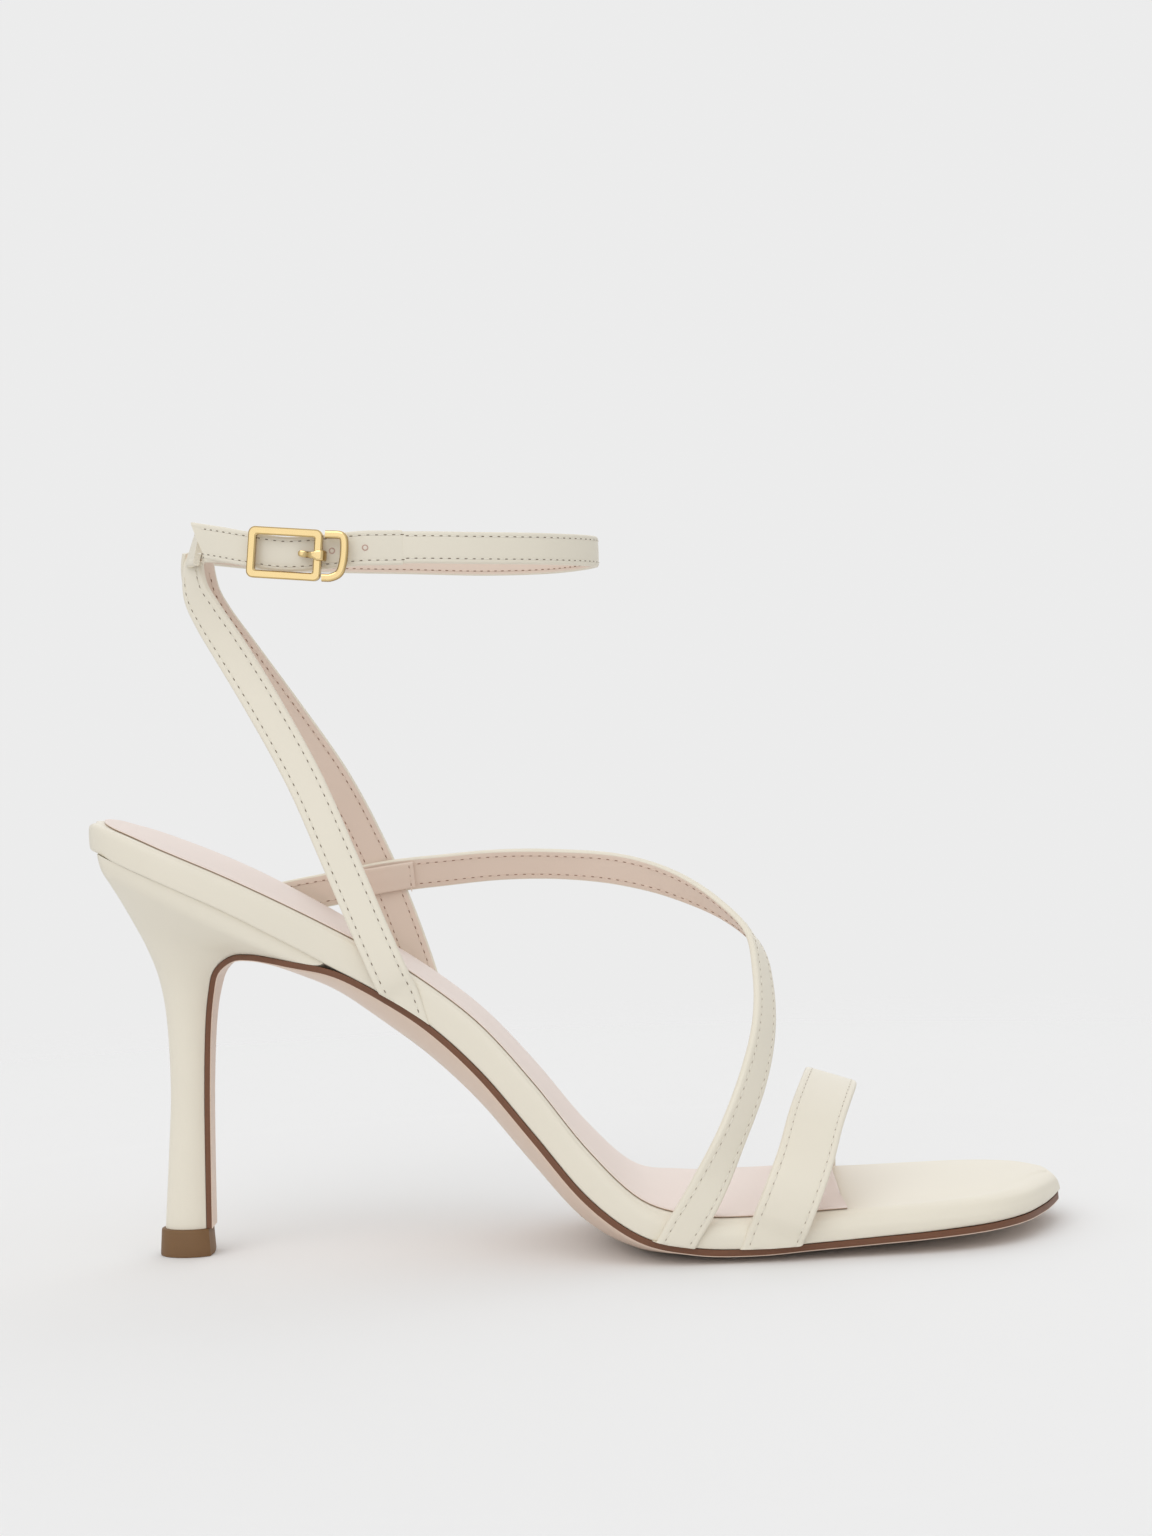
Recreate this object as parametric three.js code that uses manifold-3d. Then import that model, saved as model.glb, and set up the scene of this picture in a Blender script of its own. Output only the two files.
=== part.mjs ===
// Strappy high-heeled sandal for the right foot, in millimetres.
// +X points to the toe, +Z up and -Y to the outer side of the foot, where the buckle sits.
// The origin is on the floor, in the flat bottom of the heel's top lift.

import * as THREE from 'three';
import { mergeVertices } from 'three/addons/utils/BufferGeometryUtils.js';
import Module from 'manifold-3d';

const wasm = await Module();
wasm.setup();

// Footbed and platform
const SOLE_LENGTH = 222.4;
const HEEL_OVERHANG = 20.4;
const BALL_HALF_WIDTH = 36;
const SEAT_RISE = 91.3;
const TOE_SPRING = 3.3;
const WALL_HEIGHT = 7.2;
const WALL_TUCK = 1.2;
const EDGE_ROUNDING = 3.2;
const FOOTBED_CROWN = 0.4;
const INNER_FALL = 2.5;
const SHANK_BELLY = 8.3;

// Outsole
const OUTSOLE_THICKNESS = 1.4;
const BREAST_THICKNESS = 1.2;
const RIM_PROUD = 0.15;
const RIM_LIFT = 1.6;

// Sock lining
const SOCK_LENGTH = 170;
const SOCK_THICKNESS = 0.7;
const SOCK_INSET = 0.5;

// Heel and top lift
const HEEL_REACH = 36;
const SEAT_HALF_WIDTH = 24;
const LIFT_HEIGHT = 6;
const LIFT_FLARE = 0.45;
const LIFT_PROUD = 0.9;

// Straps
const STRAP_WIDTH = 8.2;
const TOE_STRAP_WIDTH = 12.4;
const ANKLE_STRAP_WIDTH = 7.1;
const TAIL_WIDTH = 7.7;
const STRAP_THICKNESS = 1.5;
const STRAP_EDGE = 0.4;
const ANKLE_LENGTH = 91.8;
const ANKLE_HALF_WIDTH = 23;
const ANKLE_RISE = 60;
const TAIL_END_SLANT = 3;

// Buckle and keeper
const BUCKLE_LENGTH = 16.8;
const BUCKLE_HEIGHT = 11.4;
const BUCKLE_BAR = 1.75;
const BUCKLE_DEPTH = 1.7;
const BUCKLE_CORNER = 1.6;
// How far the buckle dips towards the toe, in degrees
const BUCKLE_TILT = 2;
const PRONG_WIDTH = 1.6;
const PRONG_LENGTH = 3.6;
const PRONG_WALL = 0.8;
const KEEPER_LENGTH = 5.4;
const KEEPER_BAR = 1.8;

// The gap that neighbouring pieces keep to each other
const CLEARANCE = 0.3;
// How far a strap is sunk into another where the two are joined
const JOIN_OVERLAP = 0.3;

// Plan outline and heights of the sole, one row a section from the heel's back to the toe's tip.
// along: share of SOLE_LENGTH; outer, inner: shares of BALL_HALF_WIDTH to either side;
// rise: share of SEAT_RISE; spring: share of TOE_SPRING; wall: share of WALL_HEIGHT;
// edge: share of EDGE_ROUNDING; shank: share of SHANK_BELLY; tread: share of RIM_LIFT;
// fall: share of INNER_FALL by which the footbed's inner edge lies lower than its outer edge
const SOLE_COLUMNS = [
  'along', 'outer', 'inner', 'rise', 'spring', 'wall', 'edge', 'shank', 'tread', 'fall',
];
const SOLE_SECTIONS = [
  [0, 0.05, 0.05, 1, 0, 0.8, 0.3, 0, 0, 0],
  [0.01, 0.31, 0.31, 0.996, 0, 0.87, 0.35, 0, 0, 0],
  [0.04, 0.52, 0.52, 0.965, 0, 0.983, 0.45, 0, 0, 0],
  [0.09, 0.67, 0.665, 0.912, 0, 1.017, 0.45, 0, 0, 0],
  [0.151, 0.7, 0.665, 0.841, 0, 1.063, 0.45, 0, 0, 0],
  [0.202, 0.69, 0.625, 0.773, 0, 1.129, 0.45, 0.2, 0, 0.1],
  [0.252, 0.68, 0.58, 0.703, 0, 1.185, 0.5, 0.52, 0, 0.3],
  [0.303, 0.69, 0.555, 0.632, 0, 1.191, 0.5, 0.78, 0, 0.5],
  [0.353, 0.725, 0.55, 0.549, 0, 1.227, 0.5, 0.92, 0, 0.65],
  [0.404, 0.78, 0.59, 0.431, 0, 1.427, 0.55, 0.98, 0, 0.8],
  [0.454, 0.853, 0.67, 0.282, 0, 1.55, 0.6, 1, 0, 0.85],
  [0.505, 0.925, 0.78, 0.13, 0, 1.432, 0.7, 0.85, 0.2, 0.9],
  [0.555, 0.98, 0.89, 0.039, 0, 1.06, 0.8, 0.45, 0.8, 0.85],
  [0.605, 1, 0.97, 0.008, 0, 0.902, 0.9, 0.1, 1.2, 0.2],
  [0.666, 0.995, 1, 0, 0, 0.883, 0.95, 0, 1.35, 0],
  [0.727, 0.96, 0.985, 0, 0.17, 0.863, 1, 0, 1.5, 0.05],
  [0.787, 0.928, 0.95, 0, 0.35, 0.843, 1, 0, 1.2, 0.15],
  [0.848, 0.885, 0.93, 0, 0.53, 0.823, 1, 0, 1, 0.2],
  [0.906, 0.77, 0.91, 0, 0.7, 0.803, 1, 0, 0.75, 0.25],
  [0.945, 0.575, 0.85, 0, 0.82, 0.783, 1, 0, 0.55, 0.3],
  [0.972, 0.31, 0.73, 0, 0.91, 0.743, 1, 0, 0.35, 0.25],
  [0.986, 0.12, 0.61, 0, 0.95, 0.663, 1, 0, 0.2, 0.15],
  [0.995, -0.03, 0.49, 0, 0.98, 0.543, 1, 0, 0.1, 0.05],
  [1, -0.13, 0.38, 0, 1, 0.403, 1, 0, 0, 0],
];

// The heel's side view, one row a level from the lift up to the seat.
// back: share of HEEL_OVERHANG; backRise: share of the seat joint's height at the back;
// front: share of HEEL_REACH; frontRise: share of the joint's height at HEEL_REACH;
// width: share of SEAT_HALF_WIDTH; seat: 0 for the round stem, 1 for the platform's outline
const HEEL_COLUMNS = ['back', 'backRise', 'front', 'frontRise', 'width', 'seat'];
const HEEL_LEVELS = [
  [0.309, 0, 0.099, 0, 0.2, 0],
  [0.247, 0.18, 0.106, 0.255, 0.19, 0],
  [0.196, 0.36, 0.117, 0.52, 0.195, 0],
  [0.211, 0.54, 0.14, 0.754, 0.235, 0],
  [0.278, 0.65, 0.172, 0.89, 0.31, 0],
  [0.396, 0.733, 0.222, 0.98, 0.41, 0.04],
  [0.515, 0.795, 0.345, 1.035, 0.525, 0.12],
  [0.65, 0.862, 0.486, 1.045, 0.66, 0.3],
  [0.76, 0.915, 0.638, 1.035, 0.79, 0.55],
  [0.84, 0.955, 0.786, 1.018, 0.92, 0.85],
  [0.885, 1, 0.93, 1.004, 1, 1],
  [0.9, 1.06, 1, 1.03, 1, 1],
];

// Centre lines of the straps where they are free. along: share of SOLE_LENGTH;
// side: share of BALL_HALF_WIDTH, below 0 on the outer side; up: share of ANKLE_RISE above the
// footbed; outX, outY, outZ: the way that the strap's outside faces there
const STRAP_COLUMNS = ['along', 'side', 'up', 'outX', 'outY', 'outZ'];
const TOE_STRAP_ROWS = [
  [0.695, -1.04, 0.01, 0, -1, 0.1],
  [0.708, -1.03, 0.12, 0.05, -1, 0.3],
  [0.72, -0.925, 0.21, 0.15, -1, 0.7],
  [0.735, -0.67, 0.325, 0.25, -0.6, 0.9],
  [0.749, -0.36, 0.39, 0.3, -0.25, 0.95],
  [0.761, 0, 0.418, 0.32, 0, 0.95],
  [0.765, 0.36, 0.387, 0.3, 0.25, 0.95],
  [0.764, 0.67, 0.316, 0.25, 0.6, 0.9],
  [0.758, 0.92, 0.195, 0.15, 1, 0.7],
  [0.752, 1.02, 0.062, 0.05, 1, 0.2],
];
const DIAGONAL_ROWS = [
  [0.616, -1.045, 0.08, 0.15, -1, 0],
  [0.646, -1, 0.295, 0.6, -0.8, -0.07],
  [0.672, -0.85, 0.503, 0.73, -0.67, 0.13],
  [0.687, -0.6, 0.672, 0.8, -0.57, 0.18],
  [0.691, -0.32, 0.838, 0.85, -0.33, 0.4],
  [0.685, -0.07, 0.977, 0.8, 0.02, 0.6],
  [0.655, 0.14, 1.09, 0.64, 0.34, 0.68],
  [0.605, 0.314, 1.178, 0.46, 0.7, 0.52],
  [0.552, 0.43, 1.163, 0.3, 0.9, 0.45],
  [0.489, 0.522, 0.942, 0.2, 0.9, 0.55],
  [0.423, 0.57, 0.639, 0.1, 0.9, 0.5],
  [0.359, 0.589, 0.41, 0, 1, 0.45],
  [0.3, 0.583, 0.246, 0, 1, 0.35],
  [0.242, 0.647, 0.085, -0.05, 1, 0.2],
  [0.202, 0.683, -0.02, -0.05, 1, 0.1],
];
const OUTER_LEG_ROWS = [
  [0.317, -0.74, -0.062, 0, -1, 0.1],
  [0.3, -0.722, 0.049, 0, -1, 0.15],
  [0.267, -0.625, 0.278, 0, -1, 0.2],
  [0.232, -0.486, 0.508, 0, -1, 0.2],
  [0.187, -0.333, 0.729, -0.1, -1, 0.2],
  [0.1552, -0.238, 0.868, -0.28, -1, 0.1],
  [0.1345, -0.169, 0.955, -0.5, -0.88, 0.05],
  [0.121, -0.125, 1.03, -0.68, -0.75, 0],
  [0.118, -0.085, 1.12, -0.8, -0.6, 0],
  [0.12, -0.06, 1.19, -0.85, -0.55, 0],
];
const INNER_LEG_ROWS = [
  [0.327, 0.62, -0.029, 0, 1, 0.1],
  [0.305, 0.619, 0.164, 0, 1, 0.15],
  [0.279, 0.57, 0.351, 0, 1, 0.2],
  [0.2475, 0.458, 0.533, 0, 1, 0.2],
  [0.2035, 0.361, 0.704, -0.05, 1, 0.2],
  [0.159, 0.25, 0.869, -0.1, 1, 0.1],
  [0.132, 0.181, 0.975, -0.15, 1, 0.05],
  [0.1225, 0.135, 1.035, -0.25, 1, 0],
  [0.119, 0.085, 1.12, -0.5, 0.9, 0],
  [0.12, 0.06, 1.19, -0.7, 0.75, 0],
];

// The ankle strap's closed loop. along: share of ANKLE_LENGTH from the back of the loop;
// side: share of ANKLE_HALF_WIDTH; up: share of ANKLE_RISE above the heel seat
const ANKLE_COLUMNS = ['along', 'side', 'up'];
const ANKLE_ROWS = [
  [0, 0, 1.045],
  [0.034, -0.425, 1.038],
  [0.164, -0.835, 1.01],
  [0.268, -0.957, 0.982],
  [0.388, -1, 0.988],
  [0.53, -1, 0.992],
  [0.715, -0.935, 0.982],
  [0.89, -0.63, 0.978],
  [1, 0, 0.98],
  [0.89, 0.61, 0.978],
  [0.715, 0.87, 0.986],
  [0.53, 0.97, 1.004],
  [0.333, 0.935, 1.019],
  [0.159, 0.76, 1.032],
  [0.034, 0.405, 1.048],
];
// The strap's free tail, which lies over the loop's outside from the keeper back to the heel
const TAIL_ROWS = [
  [0.437, -1, 0.993],
  [0.366, -1, 0.986],
  [0.252, -0.99, 0.98],
  [0.158, -0.9, 1.008],
  [0.09, -0.74, 1.035],
  [0.034, -0.57, 1.056],
];
// Where the loop's back stands, as a share of SOLE_LENGTH
const ANKLE_BACK_ALONG = 0.1223;
const BACK_LOOP_HALF_LENGTH = 10;
const BACK_LOOP_BOW = 2.8;
const BACK_LOOP_WIDTH = 7.4;
const BACK_LOOP_DROP = 1;
const BACK_LOOP_LEAN = 0.32;

const named = (columns, rows) => rows.map(
  (row) => Object.fromEntries(columns.map((column, i) => [column, row[i]])),
);

// A smooth curve through one column of a table, read at a place along its key column
function reader(rows, key, column) {
  const xs = rows.map((row) => row[key]);
  const ys = rows.map((row) => row[column]);
  const last = xs.length - 1;
  const chord = (i) => (ys[i + 1] - ys[i]) / (xs[i + 1] - xs[i]);
  const slope = (i) => {
    if (i === 0) return chord(0);
    if (i === last) return chord(last - 1);
    const before = xs[i] - xs[i - 1];
    const after = xs[i + 1] - xs[i];
    return (chord(i - 1) * after + chord(i) * before) / (before + after);
  };
  return (at) => {
    const x = THREE.MathUtils.clamp(at, xs[0], xs[last]);
    let i = 0;
    while (i < last - 1 && x > xs[i + 1]) i += 1;
    const step = xs[i + 1] - xs[i];
    const t = (x - xs[i]) / step;
    const s = 1 - t;
    return s * s * (1 + 2 * t) * ys[i] + t * t * (3 - 2 * t) * ys[i + 1]
      + step * t * s * (s * slope(i) - t * slope(i + 1));
  };
}

const soleRows = named(SOLE_COLUMNS, SOLE_SECTIONS);
const sole = Object.fromEntries(SOLE_COLUMNS.map((column) => [column, reader(soleRows, 'along', column)]));

const stationX = (along) => along * SOLE_LENGTH - HEEL_OVERHANG;
const alongAt = (x) => (x + HEEL_OVERHANG) / SOLE_LENGTH;
const rimBase = RIM_LIFT + OUTSOLE_THICKNESS + CLEARANCE;
const ankleBackX = stationX(ANKLE_BACK_ALONG);

// Height of the joint between platform and outsole, at the rim
function rimHeight(along) {
  return rimBase + sole.rise(along) * SEAT_RISE + sole.spring(along) * TOE_SPRING;
}

// Height of the footbed, under the sock lining, at the middle
function footbedHeight(along) {
  return rimHeight(along) + sole.wall(along) * WALL_HEIGHT;
}

// How far the footbed lies below its outer edge, at a share across from -1 to 1
function innerFall(along, across) {
  return INNER_FALL * sole.fall(along) * (1 + across) / 2;
}

// How far the underside hangs below the rim at a share across, 0 at the middle and 1 at the rim
function bellyDrop(along, across) {
  const depth = sole.shank(along) * SHANK_BELLY + sole.tread(along) * RIM_LIFT;
  return depth * (1 - Math.abs(across) ** 2.4);
}

// Middle and half width of the plan outline, moved outwards by a distance
function outline(along, grow) {
  const outer = -sole.outer(along) * BALL_HALF_WIDTH - grow;
  const inner = sole.inner(along) * BALL_HALF_WIDTH + grow;
  return { middle: (outer + inner) / 2, half: (inner - outer) / 2 };
}

// Pushes the first and last sections outwards, so that an outline grows at its ends too
const END_SHARE = 0.03;
function endShift(along, grow) {
  const toe = Math.max(0, along - 1 + END_SHARE) / END_SHARE;
  const heel = Math.max(0, END_SHARE - along) / END_SHARE;
  return grow * (toe - heel);
}

// Sections at each row of the table, and at places between rows
function sectionPlaces(from, to) {
  const places = [];
  soleRows.forEach((row, i) => {
    places.push(row.along);
    const next = soleRows[i + 1];
    if (next && next.along - row.along > 0.035) places.push((row.along + next.along) / 2);
  });
  const between = places.filter((place) => place > from && place < to);
  return [from, ...between, to];
}

// A closed body from rings of equal length, with its two ends closed by fans
function loft(rings, closed = false) {
  const count = rings[0].length;
  const positions = rings.flat(2);
  const indices = [];
  const bands = closed ? rings.length : rings.length - 1;
  for (let i = 0; i < bands; i += 1) {
    for (let j = 0; j < count; j += 1) {
      const a = i * count + j;
      const b = i * count + ((j + 1) % count);
      const c = ((i + 1) % rings.length) * count + j;
      const d = ((i + 1) % rings.length) * count + ((j + 1) % count);
      indices.push(a, c, b, b, c, d);
    }
  }
  if (!closed) {
    [0, rings.length - 1].forEach((i) => {
      const centre = [0, 1, 2].map((k) => rings[i].reduce((sum, p) => sum + p[k], 0) / count);
      const hub = positions.length / 3;
      positions.push(...centre);
      for (let j = 0; j < count; j += 1) {
        const a = i * count + j;
        const b = i * count + ((j + 1) % count);
        if (i === 0) indices.push(a, b, hub);
        else indices.push(b, a, hub);
      }
    });
  }
  return outward(positions, indices);
}

// Geometry whose faces all point out of the body, whichever way its rings ran
function outward(positions, indices) {
  let volume = 0;
  const at = (i) => new THREE.Vector3().fromArray(positions, indices[i] * 3);
  for (let i = 0; i < indices.length; i += 3) {
    volume += at(i).dot(at(i + 1).cross(at(i + 2)));
  }
  if (volume < 0) indices.reverse();
  const geometry = new THREE.BufferGeometry();
  geometry.setAttribute('position', new THREE.Float32BufferAttribute(positions, 3));
  geometry.setIndex(indices);
  return geometry;
}

function toManifold(source) {
  const bare = source.clone();
  bare.deleteAttribute('normal');
  bare.deleteAttribute('uv');
  const merged = mergeVertices(bare, 1e-4);
  return new wasm.Manifold(new wasm.Mesh({
    numProp: 3,
    vertProperties: new Float32Array(merged.attributes.position.array),
    triVerts: new Uint32Array(merged.index.array),
  }));
}

function toGeometry(manifold) {
  const mesh = manifold.getMesh();
  const geometry = new THREE.BufferGeometry();
  geometry.setAttribute('position', new THREE.BufferAttribute(new Float32Array(mesh.vertProperties), 3));
  geometry.setIndex(new THREE.BufferAttribute(new Uint32Array(mesh.triVerts), 1));
  return geometry;
}

// The platform's section: up the outer wall, over the footbed, down the inner wall and back under
function platformRing(along, grow) {
  const { middle, half } = outline(along, grow);
  const x = stationX(along) + endShift(along, grow);
  const rim = rimHeight(along) - grow;
  const top = footbedHeight(along) + grow;
  const height = top - rim;
  const edge = Math.min(sole.edge(along) * EDGE_ROUNDING, half * 0.7, height * 0.6);
  const crown = FOOTBED_CROWN * Math.min(1, half / BALL_HALF_WIDTH);
  const foot = half - Math.min(WALL_TUCK, half * 0.3);
  const wall = [
    [foot, rim],
    [half, rim + (height - edge) * 0.6],
    [half - edge * 0.08, top - edge],
    [half - edge * 0.35, top - edge * 0.4],
    [half - edge, top],
  ];
  const lowered = (y, z) => z - innerFall(along, y / half) * (z - rim) / height;
  const ring = wall.map(([y, z]) => [x, middle - y, lowered(-y, z)]);
  const flat = half - edge;
  [-0.5, 0, 0.5].forEach((share) => {
    ring.push([x, middle + share * flat, lowered(share * flat, top) + crown * (1 - share * share)]);
  });
  wall.reverse().forEach(([y, z]) => ring.push([x, middle + y, lowered(y, z)]));
  [0.8, 0.5, 0, -0.5, -0.8].forEach((share) => {
    ring.push([x, middle + share * foot, rim - bellyDrop(along, share)]);
  });
  return ring;
}

function platformBody(grow = 0) {
  return loft(sectionPlaces(0, 1).map((along) => platformRing(along, grow)));
}

// A slab over the sole's whole outline between two heights above or below the rim
function slabBody(grow, low, high) {
  return loft(sectionPlaces(0, 1).map((along) => {
    const { middle, half } = outline(along, grow);
    const x = stationX(along) + endShift(along, grow);
    const rim = rimHeight(along);
    return [
      [x, middle - half, rim + high],
      [x, middle + half, rim + high],
      [x, middle + half, rim + low],
      [x, middle - half, rim + low],
    ];
  }));
}

// Wide enough to reach past the straps and the heel's seat
const SLAB_GROW = 4 * STRAP_THICKNESS;
const SLAB_DEPTH = 2 * (WALL_HEIGHT + SHANK_BELLY);

// The thin sock lining lies on the footbed inside its rounded edge and ends in a straight cut
function sockBody() {
  const end = SOCK_LENGTH / SOLE_LENGTH;
  return loft(sectionPlaces(0, end).map((along) => {
    const edge = sole.edge(along) * EDGE_ROUNDING;
    const inset = Math.min(edge + SOCK_INSET, outline(along, 0).half * 0.8);
    const { middle, half } = outline(along, -inset);
    const x = stationX(along) + (along < end ? endShift(along, -edge - SOCK_INSET) : 0);
    const flat = half + SOCK_INSET;
    const bottom = footbedHeight(along) + CLEARANCE;
    const whole = outline(along, 0).half;
    const crown = FOOTBED_CROWN * Math.min(1, whole / BALL_HALF_WIDTH);
    const shares = [-1, -0.5, 0, 0.5, 1];
    const layer = (z) => shares.map((share) => [
      x,
      middle + share * half,
      z + crown * (1 - (share * half / flat) ** 2) - innerFall(along, share * half / whole),
    ]);
    return [...layer(bottom + SOCK_THICKNESS), ...layer(bottom).reverse()];
  }));
}

const heelRows = named(HEEL_COLUMNS, HEEL_LEVELS).map((row, level) => ({ ...row, level }));
const heel = Object.fromEntries(
  HEEL_COLUMNS.map((column) => [column, reader(heelRows, 'level', column)]),
);
const TOP_LEVEL = heelRows.length - 1;
const HEEL_FOOT = LIFT_HEIGHT + CLEARANCE;
const heelAlong = alongAt(HEEL_REACH);

// The heel's back and front points at a level, in side view
function heelSide(level) {
  const backTop = rimHeight(0);
  const frontTop = rimHeight(heelAlong);
  return {
    backX: -heel.back(level) * HEEL_OVERHANG,
    backZ: HEEL_FOOT + heel.backRise(level) * (backTop - HEEL_FOOT),
    frontX: heel.front(level) * HEEL_REACH,
    frontZ: HEEL_FOOT + heel.frontRise(level) * (frontTop - HEEL_FOOT),
  };
}

// The heel's plan at a level: a rounded stem low down, the platform's own outline at the seat
const STEM_WRAP = THREE.MathUtils.degToRad(38);
function heelPlan(level, turn) {
  const seat = heel.seat(level);
  const wrap = STEM_WRAP * (1 - seat);
  const limit = Math.PI / 2 + wrap;
  const angle = turn * limit;
  const forward = (a) => 1 - Math.cos(a);
  const share = forward(angle) / forward(limit);
  const { backX, frontX } = heelSide(level);
  const x = backX + (frontX - backX) * share;
  const stem = heel.width(level) * SEAT_HALF_WIDTH * Math.sin(angle);
  const { middle, half } = outline(alongAt(x), -WALL_TUCK);
  const seatEdge = middle + Math.sign(turn) * Math.max(half, 0);
  return { share, y: stem * (1 - seat) + seatEdge * seat * (turn === 0 ? 0 : 1) };
}

const HALF_TURNS = [0.1, 0.22, 0.36, 0.5, 0.64, 0.78, 0.9, 1];
const HEEL_TURNS = [...HALF_TURNS.map((turn) => -turn).reverse(), 0, ...HALF_TURNS];
const BREAST_SHARES = [0.8, 0.5, 0, -0.5, -0.8];

function heelRing(level) {
  const { backX, backZ, frontX, frontZ } = heelSide(level);
  const ring = HEEL_TURNS.map((turn) => {
    const { share, y } = heelPlan(level, turn);
    return [backX + (frontX - backX) * share, y, backZ + (frontZ - backZ) * share];
  });
  const inner = heelPlan(level, 1).y;
  const outer = heelPlan(level, -1).y;
  const arch = alongAt(frontX);
  BREAST_SHARES.forEach((across) => {
    const y = (inner + outer) / 2 + across * (inner - outer) / 2;
    ring.push([frontX, y, frontZ - bellyDrop(arch, across)]);
  });
  return ring;
}

const HEEL_STEPS = 2;
function heelLevels(top) {
  return Array.from({ length: top * HEEL_STEPS + 1 }, (_, i) => i / HEEL_STEPS);
}

function heelBody() {
  const whole = toManifold(loft(heelLevels(TOP_LEVEL).map(heelRing)));
  const above = toManifold(slabBody(SLAB_GROW, -CLEARANCE, SLAB_DEPTH));
  return toGeometry(whole.subtract(toManifold(platformBody(CLEARANCE))).subtract(above));
}

// The top lift is the heel's foot a little wider, with a flare down to the floor
function liftBody() {
  const foot = heelRing(0);
  const centreX = foot.reduce((sum, p) => sum + p[0], 0) / foot.length;
  const layer = (z, grow) => foot.map(([x, y]) => {
    const away = new THREE.Vector2(x - centreX, y).normalize().multiplyScalar(grow);
    return [x + away.x, y + away.y, z];
  });
  return loft([
    layer(0, LIFT_PROUD + LIFT_FLARE),
    layer(LIFT_HEIGHT, LIFT_PROUD),
  ]);
}

// One sheet from the lift up the heel's breast, over the arch and along to the toe's tip.
// Each station gives its upper face's points, and the way down through the sheet
const SHEET_SHARES = [-1, -0.8, -0.5, 0, 0.5, 0.8, 1];

function breastStation(level) {
  const step = 1 / HEEL_STEPS;
  const here = heelSide(level);
  const before = heelSide(Math.max(0, level - step));
  const after = heelSide(level + step);
  const away = new THREE.Vector2(after.frontZ - before.frontZ, before.frontX - after.frontX).normalize();
  const thickness = THREE.MathUtils.lerp(BREAST_THICKNESS, OUTSOLE_THICKNESS, (level / TOP_LEVEL) ** 3);
  const inner = heelPlan(level, 1).y;
  const outer = heelPlan(level, -1).y;
  const drop = (across) => bellyDrop(alongAt(here.frontX), across);
  return SHEET_SHARES.map((across) => ({
    x: here.frontX,
    y: (inner + outer) / 2 + across * (inner - outer) / 2,
    z: here.frontZ - drop(across),
    away,
    thickness,
  }));
}

function soleStation(along) {
  const { middle, half } = outline(along, RIM_PROUD);
  const x = stationX(along) + endShift(along, RIM_PROUD);
  const probe = 0.002;
  return SHEET_SHARES.map((across) => {
    const surface = (place) => rimHeight(place) - bellyDrop(place, across);
    const slope = (surface(along + probe) - surface(along - probe)) / (2 * probe * SOLE_LENGTH);
    return {
      x,
      y: middle + across * half,
      z: surface(along),
      away: new THREE.Vector2(slope, -1).normalize(),
      thickness: OUTSOLE_THICKNESS,
    };
  });
}

function outsoleBody() {
  const breast = heelLevels(TOP_LEVEL - 1).map(breastStation);
  const firstAlong = alongAt(HEEL_REACH + OUTSOLE_THICKNESS);
  const stations = [...breast, ...sectionPlaces(firstAlong, 1).map(soleStation)];
  const face = (station, depth) => station.map((p) => [
    p.x + p.away.x * depth(p),
    p.y,
    Math.max(p.z + p.away.y * depth(p), 0),
  ]);
  const rings = stations.map((station) => [
    ...face(station, () => CLEARANCE),
    ...face(station, (p) => CLEARANCE + p.thickness).reverse(),
  ]);
  const sheet = rings.map((ring, i) => (i === 0 ? ring.map(([x, y]) => [x, y, HEEL_FOOT]) : ring));
  return loft(sheet);
}

// A strap: a flat section with softened edges, swept along places that state a centre and the
// way the outside faces
function strapBody(places, options = {}) {
  const { width = STRAP_WIDTH, closed = false, slant = 0, stepsPerSpan = 3 } = options;
  const spans = closed ? places.length : places.length - 1;
  const centre = new THREE.CatmullRomCurve3(places.map((place) => place.centre), closed, 'centripetal');
  const facing = new THREE.CatmullRomCurve3(places.map((place) => place.out), closed, 'centripetal');
  const steps = spans * stepsPerSpan;
  const rings = [];
  for (let i = 0; i < (closed ? steps : steps + 1); i += 1) {
    const t = i / steps;
    const middle = centre.getPoint(t);
    const tangent = centre.getTangent(t);
    const out = facing.getPoint(t).addScaledVector(tangent, -facing.getPoint(t).dot(tangent)).normalize();
    const across = new THREE.Vector3().crossVectors(tangent, out);
    const reach = width / 2;
    const depth = STRAP_THICKNESS / 2;
    const skew = i === steps ? slant / reach : 0;
    const corner = (a, b) => middle.clone()
      .addScaledVector(across, a)
      .addScaledVector(out, b)
      .addScaledVector(tangent, skew * a)
      .toArray();
    rings.push([
      corner(-reach, STRAP_EDGE - depth),
      corner(-reach, depth - STRAP_EDGE),
      corner(STRAP_EDGE - reach, depth),
      corner(reach - STRAP_EDGE, depth),
      corner(reach, depth - STRAP_EDGE),
      corner(reach, STRAP_EDGE - depth),
      corner(reach - STRAP_EDGE, -depth),
      corner(STRAP_EDGE - reach, -depth),
    ]);
  }
  return loft(rings, closed);
}

// A place of a strap that is free above the footbed
function freePlace(row) {
  return {
    centre: new THREE.Vector3(
      stationX(row.along),
      row.side * BALL_HALF_WIDTH,
      footbedHeight(row.along) + row.up * ANKLE_RISE,
    ),
    out: new THREE.Vector3(row.outX, row.outY, row.outZ).normalize(),
  };
}

// A place of a strap flat against the platform's wall. level is a share of the wall's height
function wallPlace(along, side, level) {
  const tuck = WALL_TUCK * THREE.MathUtils.clamp(0.6 - level, 0, 1);
  const { middle, half } = outline(along, STRAP_THICKNESS / 2 + CLEARANCE / 2 - tuck);
  return {
    centre: new THREE.Vector3(
      stationX(along),
      middle + side * half,
      rimHeight(along) + level * sole.wall(along) * WALL_HEIGHT,
    ),
    out: new THREE.Vector3(0, side, 0),
  };
}

const freePlaces = (rows) => named(STRAP_COLUMNS, rows).map(freePlace);

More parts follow.
